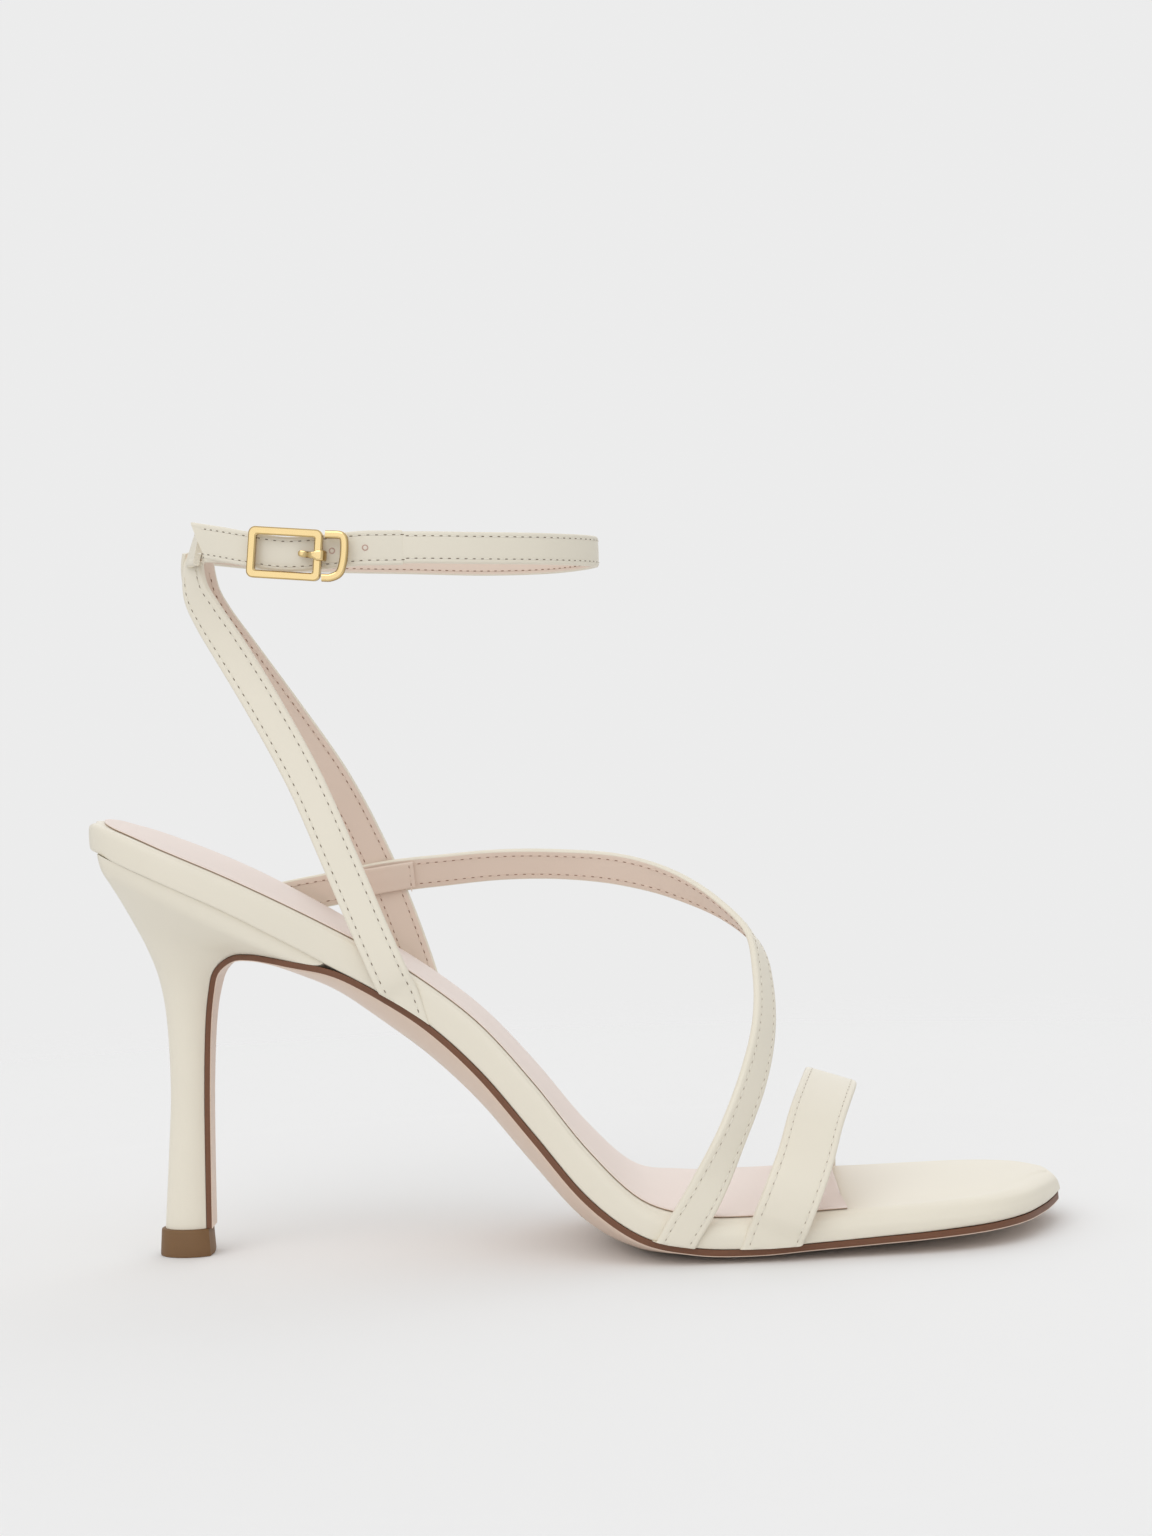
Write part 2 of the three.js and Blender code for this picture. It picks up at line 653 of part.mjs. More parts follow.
function trimmed(...straps) {
  const whole = straps.map(toManifold).reduce((sum, strap) => sum.add(strap));
  const below = toManifold(slabBody(SLAB_GROW, -SLAB_DEPTH, 0));
  return toGeometry(whole.subtract(toManifold(platformBody(CLEARANCE))).subtract(below));
}

const OUTER = -1;
const INNER = 1;
const BELOW_RIM = -0.45;

function toeStrapBody() {
  return trimmed(strapBody([
    wallPlace(0.677, OUTER, BELOW_RIM),
    wallPlace(0.688, OUTER, 0.5),
    ...freePlaces(TOE_STRAP_ROWS),
    wallPlace(0.75, INNER, 0.5),
    wallPlace(0.749, INNER, BELOW_RIM),
  ], { width: TOE_STRAP_WIDTH, stepsPerSpan: 2 }));
}

const ankleSeat = footbedHeight(0);
function anklePlace(row, outwardShift = 0) {
  const radius = new THREE.Vector2(row.along - 0.5, row.side * ANKLE_HALF_WIDTH / ANKLE_LENGTH);
  const out = new THREE.Vector3(radius.x * 0.35, radius.y, 0).normalize();
  return {
    centre: new THREE.Vector3(
      ankleBackX + row.along * ANKLE_LENGTH,
      row.side * ANKLE_HALF_WIDTH,
      ankleSeat + row.up * ANKLE_RISE,
    ).addScaledVector(out, outwardShift),
    out,
  };
}

// The loop's outside faces away from the foot, square to the strap's own run
function anklePlaces() {
  const places = named(ANKLE_COLUMNS, ANKLE_ROWS).map((row) => anklePlace(row));
  return places.map((place, i) => {
    const next = places[(i + 1) % places.length].centre;
    const last = places[(i + places.length - 1) % places.length].centre;
    const run = next.clone().sub(last).setZ(0).normalize();
    return { centre: place.centre, out: new THREE.Vector3(run.y, -run.x, 0) };
  });
}

function tailPlaces() {
  const lift = STRAP_THICKNESS - JOIN_OVERLAP;
  const rows = named(ANKLE_COLUMNS, TAIL_ROWS);
  const places = rows.map((row) => anklePlace(row).centre);
  return places.map((centre, i) => {
    const run = places[Math.min(i + 1, places.length - 1)].clone()
      .sub(places[Math.max(i - 1, 0)]).setZ(0).normalize();
    const out = new THREE.Vector3(-run.y, run.x, 0);
    return { centre: centre.clone().addScaledVector(out, lift), out };
  });
}

// The short band that joins the two legs behind the heel and holds the ankle strap
function backLoopPlaces() {
  const back = ankleBackX - STRAP_THICKNESS + JOIN_OVERLAP;
  const z = ankleSeat + ANKLE_ROWS[0][2] * ANKLE_RISE - BACK_LOOP_DROP;
  return [-1, -0.5, 0, 0.5, 1].map((share) => ({
    centre: new THREE.Vector3(back + share * share * BACK_LOOP_BOW, share * BACK_LOOP_HALF_LENGTH, z),
    out: new THREE.Vector3(-1, share * 0.8, BACK_LOOP_LEAN).normalize(),
  }));
}

function strapsUpperBody() {
  const diagonal = strapBody([
    wallPlace(0.582, OUTER, BELOW_RIM),
    wallPlace(0.596, OUTER, 0.5),
    ...freePlaces(DIAGONAL_ROWS),
    wallPlace(0.166, INNER, 0.13),
    wallPlace(0.13, INNER, -0.55),
  ]);
  const outerLeg = strapBody([
    wallPlace(0.335, OUTER, BELOW_RIM),
    wallPlace(0.324, OUTER, 0.3),
    ...freePlaces(OUTER_LEG_ROWS),
  ]);
  const innerLeg = strapBody([
    wallPlace(0.3435, INNER, BELOW_RIM),
    wallPlace(0.3345, INNER, 0.3),
    ...freePlaces(INNER_LEG_ROWS),
  ]);
  const ankle = strapBody(anklePlaces(), { width: ANKLE_STRAP_WIDTH, closed: true });
  const tail = strapBody(tailPlaces(), { width: TAIL_WIDTH, slant: TAIL_END_SLANT });
  const backLoop = strapBody(backLoopPlaces(), { width: BACK_LOOP_WIDTH });
  return trimmed(diagonal, outerLeg, innerLeg, ankle, tail, backLoop);
}

// The buckle's own frame: local X along the strap, local Y up, local Z out of the shoe
function buckleFrameShape(length, height, corner) {
  const shape = new THREE.Shape();
  const x = length / 2;
  const y = height / 2;
  shape.moveTo(-x + corner, -y);
  shape.lineTo(x - corner, -y);
  shape.quadraticCurveTo(x, -y, x, -y + corner);
  shape.lineTo(x, y - corner);
  shape.quadraticCurveTo(x, y, x - corner, y);
  shape.lineTo(-x + corner, y);
  shape.quadraticCurveTo(-x, y, -x, y - corner);
  shape.lineTo(-x, -y + corner);
  shape.quadraticCurveTo(-x, -y, -x + corner, -y);
  return shape;
}

const BEVEL = 0.35;
const extrudeSettings = (depth) => ({
  depth: depth - 2 * BEVEL,
  bevelEnabled: true,
  bevelThickness: BEVEL,
  bevelSize: BEVEL,
  bevelOffset: -BEVEL,
  bevelSegments: 1,
  curveSegments: 4,
});

function frameBody() {
  const shape = buckleFrameShape(BUCKLE_LENGTH, BUCKLE_HEIGHT, BUCKLE_CORNER);
  shape.holes.push(buckleFrameShape(
    BUCKLE_LENGTH - 2 * BUCKLE_BAR,
    BUCKLE_HEIGHT - 2 * BUCKLE_BAR,
    BUCKLE_CORNER / 2,
  ));
  return new THREE.ExtrudeGeometry(shape, extrudeSettings(BUCKLE_DEPTH)).translate(0, 0, BEVEL);
}

// The prong's knuckle saddles the front bar and its finger dips to the hole in the strap
function prongBody() {
  const barRight = BUCKLE_LENGTH / 2;
  const barLeft = barRight - BUCKLE_BAR;
  const top = BUCKLE_DEPTH + CLEARANCE;
  const shape = new THREE.Shape();
  shape.moveTo(barRight + CLEARANCE, 0);
  shape.lineTo(barRight + CLEARANCE + PRONG_WALL, 0);
  shape.lineTo(barRight + CLEARANCE + PRONG_WALL, top);
  shape.quadraticCurveTo(barRight, top + PRONG_WALL, barRight - BUCKLE_BAR / 2, top + PRONG_WALL);
  shape.lineTo(barLeft - CLEARANCE, top + PRONG_WALL);
  shape.lineTo(barLeft - PRONG_LENGTH * 0.7, PRONG_WALL * 1.6);
  shape.lineTo(barLeft - PRONG_LENGTH, 0);
  shape.lineTo(barLeft - PRONG_LENGTH + PRONG_WALL, 0);
  shape.lineTo(barLeft - CLEARANCE, PRONG_WALL);
  shape.lineTo(barLeft - CLEARANCE, top);
  shape.lineTo(barRight + CLEARANCE, top);
  const bevelled = { depth: PRONG_WIDTH, bevelEnabled: false, curveSegments: 4 };
  return new THREE.ExtrudeGeometry(shape, bevelled)
    .translate(0, 0, -PRONG_WIDTH / 2)
    .rotateX(Math.PI / 2);
}

// The keeper is an open ring beside the frame: an upright bar with an arm above and below
function keeperBody() {
  const left = BUCKLE_LENGTH / 2 + CLEARANCE;
  const right = left + KEEPER_LENGTH;
  const y = BUCKLE_HEIGHT / 2;
  const corner = KEEPER_LENGTH * 0.7;
  const inside = corner - KEEPER_BAR;
  const shape = new THREE.Shape();
  shape.moveTo(left, -y);
  shape.lineTo(right - corner, -y);
  shape.quadraticCurveTo(right, -y, right, -y + corner);
  shape.lineTo(right, y - BUCKLE_CORNER);
  shape.quadraticCurveTo(right, y, right - BUCKLE_CORNER, y);
  shape.lineTo(left + CLEARANCE, y);
  shape.lineTo(left + CLEARANCE, y - KEEPER_BAR);
  shape.lineTo(right - KEEPER_BAR, y - KEEPER_BAR);
  shape.lineTo(right - KEEPER_BAR, -y + corner);
  shape.quadraticCurveTo(right - KEEPER_BAR, -y + KEEPER_BAR, right - KEEPER_BAR - inside, -y + KEEPER_BAR);
  shape.lineTo(left, -y + KEEPER_BAR);
  shape.lineTo(left, -y);
  const settings = extrudeSettings(BUCKLE_DEPTH);
  return new THREE.ExtrudeGeometry(shape, settings).translate(0, 0, BEVEL);
}

// Places the buckle's frame of axes on the outside of the tail, at the tail's buckle row
const BUCKLE_ROW = 2;
function buckleGroup() {
  const places = tailPlaces();
  const run = places[BUCKLE_ROW - 1].centre.clone().sub(places[BUCKLE_ROW + 1].centre).normalize();
  const out = new THREE.Vector3(run.y, -run.x, 0).normalize();
  const up = new THREE.Vector3().crossVectors(out, run);
  const group = new THREE.Group();
  const axes = new THREE.Matrix4().makeBasis(run, up, out);
  group.quaternion.setFromRotationMatrix(axes);
  group.rotateZ(-THREE.MathUtils.degToRad(BUCKLE_TILT));
  group.position.copy(places[BUCKLE_ROW].centre).addScaledVector(out, STRAP_THICKNESS / 2 + CLEARANCE);
  return group;
}

const cream = new THREE.MeshStandardMaterial({ color: 0xe4dccb, roughness: 0.55, metalness: 0 });
const blush = new THREE.MeshStandardMaterial({ color: 0xe3d2c8, roughness: 0.6, metalness: 0 });
const soleLeather = new THREE.MeshStandardMaterial({ color: 0x7a4a2e, roughness: 0.6, metalness: 0 });
const liftRubber = new THREE.MeshStandardMaterial({ color: 0x7d5c3a, roughness: 0.6, metalness: 0 });
const gold = new THREE.MeshStandardMaterial({ color: 0xe6b95c, roughness: 0.25, metalness: 1 });

function piece(name, geometry, material) {
  const mesh = new THREE.Mesh(geometry, material);
  mesh.name = name;
  return mesh;
}

const sandal = new THREE.Group();
sandal.add(
  piece('platform', platformBody(), cream),
  piece('insole_sock', sockBody(), blush),
  piece('outsole', outsoleBody(), soleLeather),
  piece('heel', heelBody(), cream),
  piece('top_lift', liftBody(), liftRubber),
  piece('toe_strap', toeStrapBody(), cream),
  piece('upper_straps', strapsUpperBody(), cream),
);

const buckle = buckleGroup();
buckle.add(
  piece('buckle_frame', frameBody(), gold),
  piece('buckle_prong', prongBody(), gold),
  piece('keeper_ring', keeperBody(), gold),
);
sandal.add(buckle);

export default sandal;
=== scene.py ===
"""Finished looks for a strappy heeled sandal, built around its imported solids.

Sizes are millimetres until a mesh is made, which is in metres. +X points to the toe, +Z up and -Y
to the outer side of the foot, where the buckle sits.
"""

import logging
import math
from dataclasses import dataclass, field
from enum import Enum
from typing import Callable, Sequence

import bpy
import numpy as np
from mathutils import Matrix, Vector


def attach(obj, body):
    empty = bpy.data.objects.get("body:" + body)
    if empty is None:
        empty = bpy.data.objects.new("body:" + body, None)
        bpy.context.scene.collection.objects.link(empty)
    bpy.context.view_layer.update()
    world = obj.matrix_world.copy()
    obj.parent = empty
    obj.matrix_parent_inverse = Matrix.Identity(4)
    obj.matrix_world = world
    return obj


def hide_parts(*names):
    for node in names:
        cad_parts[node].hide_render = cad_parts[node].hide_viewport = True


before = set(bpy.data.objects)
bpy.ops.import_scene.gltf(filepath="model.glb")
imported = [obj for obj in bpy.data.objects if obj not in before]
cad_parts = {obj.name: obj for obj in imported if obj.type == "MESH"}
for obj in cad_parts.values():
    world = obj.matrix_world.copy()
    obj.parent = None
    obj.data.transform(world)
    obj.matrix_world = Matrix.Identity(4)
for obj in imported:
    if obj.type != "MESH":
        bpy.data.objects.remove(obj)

MM = 0.001
BODY = "root"
log = logging.getLogger("sandal")

Colour = tuple[float, float, float]
Row = tuple[float, ...]
Array = np.ndarray
Socket = bpy.types.NodeSocket


# Curves and tables


def column(rows: Sequence[Row], key: int, value: int) -> Callable[[Array], Array]:
    """A smooth curve through one column of a table.

    Args:
        rows: the table's rows, in the order of their key.
        key: the index of the key column.
        value: the index of the column to read.

    Returns:
        A function that reads the column at any key.
    """
    xs = np.array([row[key] for row in rows])
    ys = np.array([row[value] for row in rows])
    chord = np.diff(ys) / np.diff(xs)
    step = np.diff(xs)
    slope = np.concatenate(([chord[0]], (chord[:-1] * step[1:] + chord[1:] * step[:-1])
                            / (step[1:] + step[:-1]), [chord[-1]]))

    def read(at: Array) -> Array:
        """Reads the column at one or more keys."""
        x = np.clip(np.asarray(at, float), xs[0], xs[-1])
        i = np.clip(np.searchsorted(xs, x, side="right") - 1, 0, len(xs) - 2)
        t = (x - xs[i]) / step[i]
        s = 1 - t
        return (s * s * (1 + 2 * t) * ys[i] + t * t * (3 - 2 * t) * ys[i + 1]
                + step[i] * t * s * (s * slope[i] - t * slope[i + 1]))

    return read


def centripetal(points: Array, closed: bool, per_span: int) -> Array:
    """Samples a centripetal curve through points.

    Args:
        points: the points, one a row.
        closed: whether the curve joins its ends.
        per_span: samples for each span between two points.

    Returns:
        The samples, with the last point included on an open curve.
    """
    count = len(points)
    spans = count if closed else count - 1
    out = []
    for i in range(spans):
        p1, p2 = points[i], points[(i + 1) % count]
        p0 = points[i - 1] if closed or i > 0 else 2 * p1 - p2
        p3 = points[(i + 2) % count] if closed or i < spans - 1 else 2 * p2 - p1
        d1 = max(np.linalg.norm(p2 - p1) ** 0.5, 1e-4)
        d0 = np.linalg.norm(p1 - p0) ** 0.5
        d2 = np.linalg.norm(p3 - p2) ** 0.5
        d0, d2 = (d0 if d0 > 1e-4 else d1), (d2 if d2 > 1e-4 else d1)
        t1 = ((p1 - p0) / d0 - (p2 - p0) / (d0 + d1) + (p2 - p1) / d1) * d1
        t2 = ((p2 - p1) / d1 - (p3 - p1) / (d1 + d2) + (p3 - p2) / d2) * d1
        for k in range(per_span):
            t = k / per_span
            out.append((2 * t**3 - 3 * t**2 + 1) * p1 + (t**3 - 2 * t**2 + t) * t1
                       + (3 * t**2 - 2 * t**3) * p2 + (t**3 - t**2) * t2)
    if not closed:
        out.append(points[-1])
    return np.array(out)


def unit(vectors: Array) -> Array:
    """Vectors scaled to a length of one."""
    return vectors / np.maximum(np.linalg.norm(vectors, axis=-1, keepdims=True), 1e-9)


def lengths_of(points: Array) -> Array:
    """The length along a line at each of its points."""
    return np.concatenate(([0], np.cumsum(np.linalg.norm(np.diff(points, axis=0), axis=1))))


def read_line(points: Array, lengths: Array, at: Array) -> Array:
    """Points of a line at lengths along it."""
    return np.stack([np.interp(at, lengths, points[:, k]) for k in range(3)], 1)


# Meshes


@dataclass
class Surface:
    """Points and faces of one closed mesh, in millimetres, with a finish index for each face."""

    points: list[Sequence[float]] = field(default_factory=list)
    faces: list[tuple[int, ...]] = field(default_factory=list)
    finishes: list[int] = field(default_factory=list)
    across: list[float] = field(default_factory=list)

    def add_rings(self, rings: Array, closed: bool = False, finish: Sequence[int] = (0,),
                  across: Array | None = None, caps: bool = True) -> None:
        """Joins rings of equal length into a tube.

        Args:
            rings: an array of rings, points and axes.
            closed: whether the last ring joins the first.
            finish: a finish index for each face around a ring, or one for all.
            across: the place of each point across a strap, for its material.
            caps: whether open ends are closed.
        """
        count, around = rings.shape[:2]
        base = self._add_points(rings, across)
        for i in range(count if closed else count - 1):
            here, there = base + i * around, base + (i + 1) % count * around
            for j in range(around):
                k = (j + 1) % around
                self.faces.append((here + j, here + k, there + k, there + j))
                self.finishes.append(finish[j % len(finish)])
        if caps and not closed:
            last = base + (count - 1) * around
            self.faces += [tuple(reversed(range(base, base + around))),
                           tuple(range(last, last + around))]
            self.finishes += [finish[0]] * 2

    def add_grid(self, grid: Array, finish: int = 0) -> None:
        """Adds an open sheet.

        Args:
            grid: an array of rows, columns and axes.
            finish: the finish index of its faces.
        """
        rows, columns = grid.shape[:2]
        base = self._add_points(grid)
        for i in range(rows - 1):
            for a in range(base + i * columns, base + (i + 1) * columns - 1):
                self.faces.append((a, a + 1, a + columns + 1, a + columns))
                self.finishes.append(finish)

    def _add_points(self, points: Array, across: Array | None = None) -> int:
        """Adds points with their places across, and returns the index of the first."""
        base = len(self.points)
        self.points.extend(points.reshape(-1, 3).tolist())
        self.across.extend(np.zeros(points[..., 0].size) if across is None else across.ravel())
        return base

    def to_object(self, name: str, materials: Sequence[bpy.types.Material],
                  sharp: float = 40) -> bpy.types.Object:
        """Makes the Blender object, with smooth faces that break at sharp edges.

        Args:
            name: the object's name.
            materials: its materials, in the order of the finish indices.
            sharp: edges that turn more than this many degrees stay sharp.

        Returns:
            The object, linked to the scene.
        """
        mesh = bpy.data.meshes.new(name)
        mesh.from_pydata([tuple(c * MM for c in p) for p in self.points], [], self.faces)
        for material in materials:
            mesh.materials.append(material)
        mesh.polygons.foreach_set("material_index", self.finishes)
        mesh.attributes.new("across", "FLOAT", "POINT").data.foreach_set("value", self.across)
        return finished(mesh, name, sharp)


def finished(mesh: bpy.types.Mesh, name: str, sharp: float = 40) -> bpy.types.Object:
    """Merges doubles, turns faces outwards, smooths and links a mesh.

    Args:
        mesh: the mesh.
        name: the name of its object.
        sharp: edges that turn more than this many degrees stay sharp.

    Returns:
        The object, linked to the scene.
    """
    import bmesh

    edit = bmesh.new()
    edit.from_mesh(mesh)
    bmesh.ops.remove_doubles(edit, verts=edit.verts, dist=0.002 * MM)
    bmesh.ops.dissolve_degenerate(edit, edges=edit.edges, dist=0.001 * MM)
    bmesh.ops.recalc_face_normals(edit, faces=edit.faces)
    edit.to_mesh(mesh)
    edit.free()
    mesh.polygons.foreach_set("use_smooth", [True] * len(mesh.polygons))
    mesh.set_sharp_from_angle(angle=math.radians(sharp))
    mesh.update()
    piece = bpy.data.objects.new(name, mesh)
    bpy.context.scene.collection.objects.link(piece)
    return piece


def dress(piece: bpy.types.Object, slot: str, *nodes: str) -> bpy.types.Object:
    """Makes a piece ride on the shoe and stand for its solids.

    Args:
        piece: the piece.
        slot: the record's material slot; not used.
        nodes: the solids that it stands for.

    Returns:
        The piece.
    """
    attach(piece, BODY)
    if nodes:
        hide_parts(*nodes)
    log.info("%s: %d faces", piece.name, len(piece.data.polygons))
    return piece


# Materials


class NodeTree:
    """A node tree under construction."""

    def __init__(self, tree: bpy.types.NodeTree) -> None:
        """Takes the tree."""
        self.tree = tree

    def add(self, kind: str, settings: dict[str, object] | None = None,
            **sockets: object) -> bpy.types.Node:
        """Adds a node.

        Args:
            kind: the node's type.
            settings: its own settings, made first.
            sockets: values or links of its inputs, with spaces in a name written as underlines.

        Returns:
            The node.
        """
        node = self.tree.nodes.new(kind)
        for key, value in (settings or {}).items():
            setattr(node, key, value)
        for key, value in sockets.items():
            self.feed(node.inputs[key.replace("_", " ")], value)
        return node

    def chain(self, kind: str, *values: object, **settings: object) -> Socket:
        """Adds a node with its settings, feeds its inputs in order and returns its first output."""
        node = self.add(kind, settings)
        for place, value in zip(node.inputs, values):
            self.feed(place, value)
        return node.outputs[0]

    def feed(self, place: Socket, value: object) -> None:
        """Links or sets an input."""
        value = value.socket if isinstance(value, Value) else value
        if isinstance(value, Socket):
            self.tree.links.new(value, place)
        else:
            place.default_value = value


class Value:
    """A socket whose arithmetic adds Math nodes."""

    def __init__(self, nodes: NodeTree, socket: Socket) -> None:
        """Wraps a socket of a tree."""
        self.nodes = nodes
        self.socket = socket

    def _math(self, operation: str, *values: object) -> "Value":
        """Adds a Math node on values."""
        return Value(self.nodes, self.nodes.chain("ShaderNodeMath", *values, operation=operation))

    def __add__(self, other: object) -> "Value":
        """Sum."""
        return self._math("ADD", self, other)

    __radd__ = __add__

    def __mul__(self, other: object) -> "Value":
        """Product."""
        return self._math("MULTIPLY", self, other)

    __rmul__ = __mul__

    def __sub__(self, other: object) -> "Value":
        """Difference."""
        return self._math("SUBTRACT", self, other)

    def __rsub__(self, other: object) -> "Value":
        """Difference from a number."""
        return self._math("SUBTRACT", other, self)

    def __truediv__(self, other: object) -> "Value":
        """Quotient."""
        return self._math("DIVIDE", self, other)

    def __abs__(self) -> "Value":
        """Size without sign."""
        return self._math("ABSOLUTE", self)

    def at_least(self, other: object) -> "Value":
        """The larger of two."""
        return self._math("MAXIMUM", self, other)

    def at_most(self, other: object) -> "Value":
        """The smaller of two."""
        return self._math("MINIMUM", self, other)


class Recipe(NodeTree):
    """One material under construction."""

    def __init__(self, name: str) -> None:
        """Starts a material with a plain shader."""
        self.material = bpy.data.materials.new(name)
        self.material.use_nodes = True
        super().__init__(self.material.node_tree)
        self.shader = self.tree.nodes["Principled BSDF"]
        self.place = self.add("ShaderNodeTexCoord").outputs["Object"]

    def noise(self, size: float, detail: float = 2, roughness: float = 0.5) -> Value:
        """Soft noise whose blobs are about a size in millimetres."""
        node = self.add("ShaderNodeTexNoise", Vector=self.place, Scale=1 / (size * MM),
                        Detail=detail, Roughness=roughness)
        return Value(self, node.outputs[0])

    def cells(self, size: float) -> Value:
        """Distance from the middles of cells of a size in millimetres, in shares of that size."""
        node = self.add("ShaderNodeTexVoronoi", Vector=self.place, Scale=1 / (size * MM))
        return Value(self, node.outputs["Distance"])

    def across(self) -> Value:
        """The place across a strap, 1 at its rows of stitches."""
        node = self.add("ShaderNodeAttribute", {"attribute_name": "across"})
        return Value(self, node.outputs["Fac"])

    def mix(self, share: Value, first: Colour, second: Colour) -> Socket:
        """A blend of two colours."""
        node = self.add("ShaderNodeMix", {"data_type": "RGBA"})
        self.feed(node.inputs[0], share)
        node.inputs[6].default_value = (*first, 1)
        node.inputs[7].default_value = (*second, 1)
        return node.outputs[2]

    def shades(self, share: Value, colour: Colour, low: float, high: float) -> Socket:
        """A colour that varies between two shares of its brightness."""
        return self.mix(share, tint(colour, low), tint(colour, high))

    def bump(self, height: Value, depth: float) -> None:
        """Raises the surface by a height in shares of a depth in millimetres."""
        node = self.add("ShaderNodeBump", Strength=1.0, Distance=depth * MM, Height=height)
        self.feed(self.shader.inputs["Normal"], node.outputs["Normal"])

    def fade_out(self, middle: float, start: float, run: float) -> None:
        """Lets the surface vanish with its distance from a place on the X axis.

        Args:
            middle: the place along X, in metres.
            start: the distance where it starts to vanish, in metres.
            run: how much farther it is gone.
        """
        far = self.add("ShaderNodeVectorMath", {"operation": "DISTANCE"})
        self.feed(far.inputs[0], self.place)
        self.feed(far.inputs[1], (middle, 0, 0))
        share = ((Value(self, far.outputs["Value"]) - start) / run).at_least(0.0).at_most(1.0)
        clear = self.chain("ShaderNodeBsdfTransparent")
        blend = self.chain("ShaderNodeMixShader", share, self.shader.outputs[0], clear)
        self.feed(self.tree.nodes["Material Output"].inputs[0], blend)

    def set(self, **sockets: object) -> None:
        """Sets inputs of the shader."""
        for key, value in sockets.items():
            self.feed(self.shader.inputs[key.replace("_", " ")], value)


def tint(colour: Colour, factor: float) -> Colour:
    """A colour made darker or lighter."""
    return tuple(min(1.0, c * factor) for c in colour)


@dataclass(frozen=True)
class Leather:
    """A smooth leather with a fine grain."""

    name: str
    colour: Colour
    roughness: float = 0.46
    grain: float = 0.55
    depth: float = 0.012
    coat: float = 0.12
    cloud_size: float = 26
    row: float = 0.0
    row_width: float = 0.3
    row_depth: float = 0.05

    def build(self) -> bpy.types.Material:
        """Makes the material, with dents along the stitch rows where it has them."""
        recipe = Recipe(self.name)
        cloud = recipe.noise(self.cloud_size, 3)
        pores = recipe.cells(self.grain)
        fine = recipe.noise(self.grain * 0.6, 3, 0.6)
        recipe.set(Base_Color=recipe.shades(cloud * 0.7 + fine * 0.3, self.colour, 0.965, 1.03),
                   Roughness=self.roughness + (fine - 0.5) * 0.12 + (cloud - 0.5) * 0.06,
                   Coat_Weight=self.coat, Coat_Roughness=0.38, Specular_IOR_Level=0.45)
        height = (pores.at_most(0.6) * 0.8 + fine * 0.6) * self.depth + cloud * 0.03
        if self.row:
            near = 1 - (abs(abs(recipe.across()) - self.row) / self.row_width).at_most(1.0)
            height = height - near * near * self.row_depth
        recipe.bump(height, 1.0)
        return recipe.material


@dataclass(frozen=True)
class SoleSheet:
    """Smooth sole leather, faintly brushed along the shoe."""

    name: str
    colour: Colour
    roughness: float = 0.42
    stretch: float = 0.08
    lines_per_metre: float = 1400

    def build(self) -> bpy.types.Material:
        """Makes the material."""
        recipe = Recipe(self.name)
        turned = recipe.add("ShaderNodeMapping", {"vector_type": "POINT"}, Vector=recipe.place,
                            Scale=(self.stretch, 1, 1))
        streak = recipe.add("ShaderNodeTexNoise", Vector=turned.outputs[0],
                            Scale=self.lines_per_metre, Detail=3)
        lines = Value(recipe, streak.outputs[0])
        cloud = recipe.noise(18, 3)
        recipe.set(Base_Color=recipe.shades(cloud * 0.6 + lines * 0.4, self.colour, 0.94, 1.05),
                   Roughness=self.roughness + (lines - 0.5) * 0.14, Coat_Weight=0.15,
                   Coat_Roughness=0.3)
        recipe.bump(lines * 0.5 + cloud * 0.5, 0.02)
        return recipe.material


@dataclass(frozen=True)
class Speckled:
    """A dull surface with fine specks and wider patches: a painted edge, rubber or thread."""

    name: str
    colour: Colour
    grain: float = 0.5
    detail: tuple[float, float] = (4, 0.65)
    patch: float = 4
    patch_share: float = 0.3
    shades: tuple[float, float] = (0.72, 1.3)
    roughness: float = 0.5
    swing: float = 0.2
    depth: float = 0.05

    def build(self) -> bpy.types.Material:
        """Makes the material."""
        recipe = Recipe(self.name)
        specks = recipe.noise(self.grain, *self.detail)
        share = specks * (1 - self.patch_share) + recipe.noise(self.patch, 2) * self.patch_share
        recipe.set(Base_Color=recipe.shades(share, self.colour, *self.shades),
                   Roughness=self.roughness + (specks - 0.5) * self.swing)
        recipe.bump(specks, self.depth)
        return recipe.material


@dataclass(frozen=True)
class Plating:
    """Polished metal plating with painted reflections: its colour darkens to painted shade where it
    turns away from the front.
    """

    name: str
    colour: Colour
    painted_shade: Colour
    roughness: float = 0.11
    turn: float = 0.55

    def build(self) -> bpy.types.Material:
        """Makes the material."""
        recipe = Recipe(self.name)
        haze = recipe.noise(2.5, 3)
        facing = recipe.add("ShaderNodeTexCoord").outputs["Normal"]
        front = abs(Value(recipe, recipe.add("ShaderNodeSeparateXYZ", Vector=facing).outputs["Y"]))
        # Painted reflection: faces toward the front take the bright gold, and faces turned away
        # take the painted shade colour.
        bright = ((front - self.turn) / (1 - self.turn)).at_least(0.0) * 0.9 + haze * 0.1
        recipe.set(Base_Color=recipe.mix(bright, self.painted_shade, self.colour), Metallic=1.0,
                   Roughness=self.roughness + (haze - 0.5) * 0.05)
        recipe.bump(haze, 0.004)
        return recipe.material


CREAM = (0.80, 0.748, 0.632)
BLUSH = (0.76, 0.63, 0.535)
STITCH_INSET = 1.5
TWISTED = {"grain": 0.18, "detail": (2, 0.5), "patch_share": 0.0, "shades": (0.75, 1.15),
           "roughness": 0.7, "swing": 0.0}


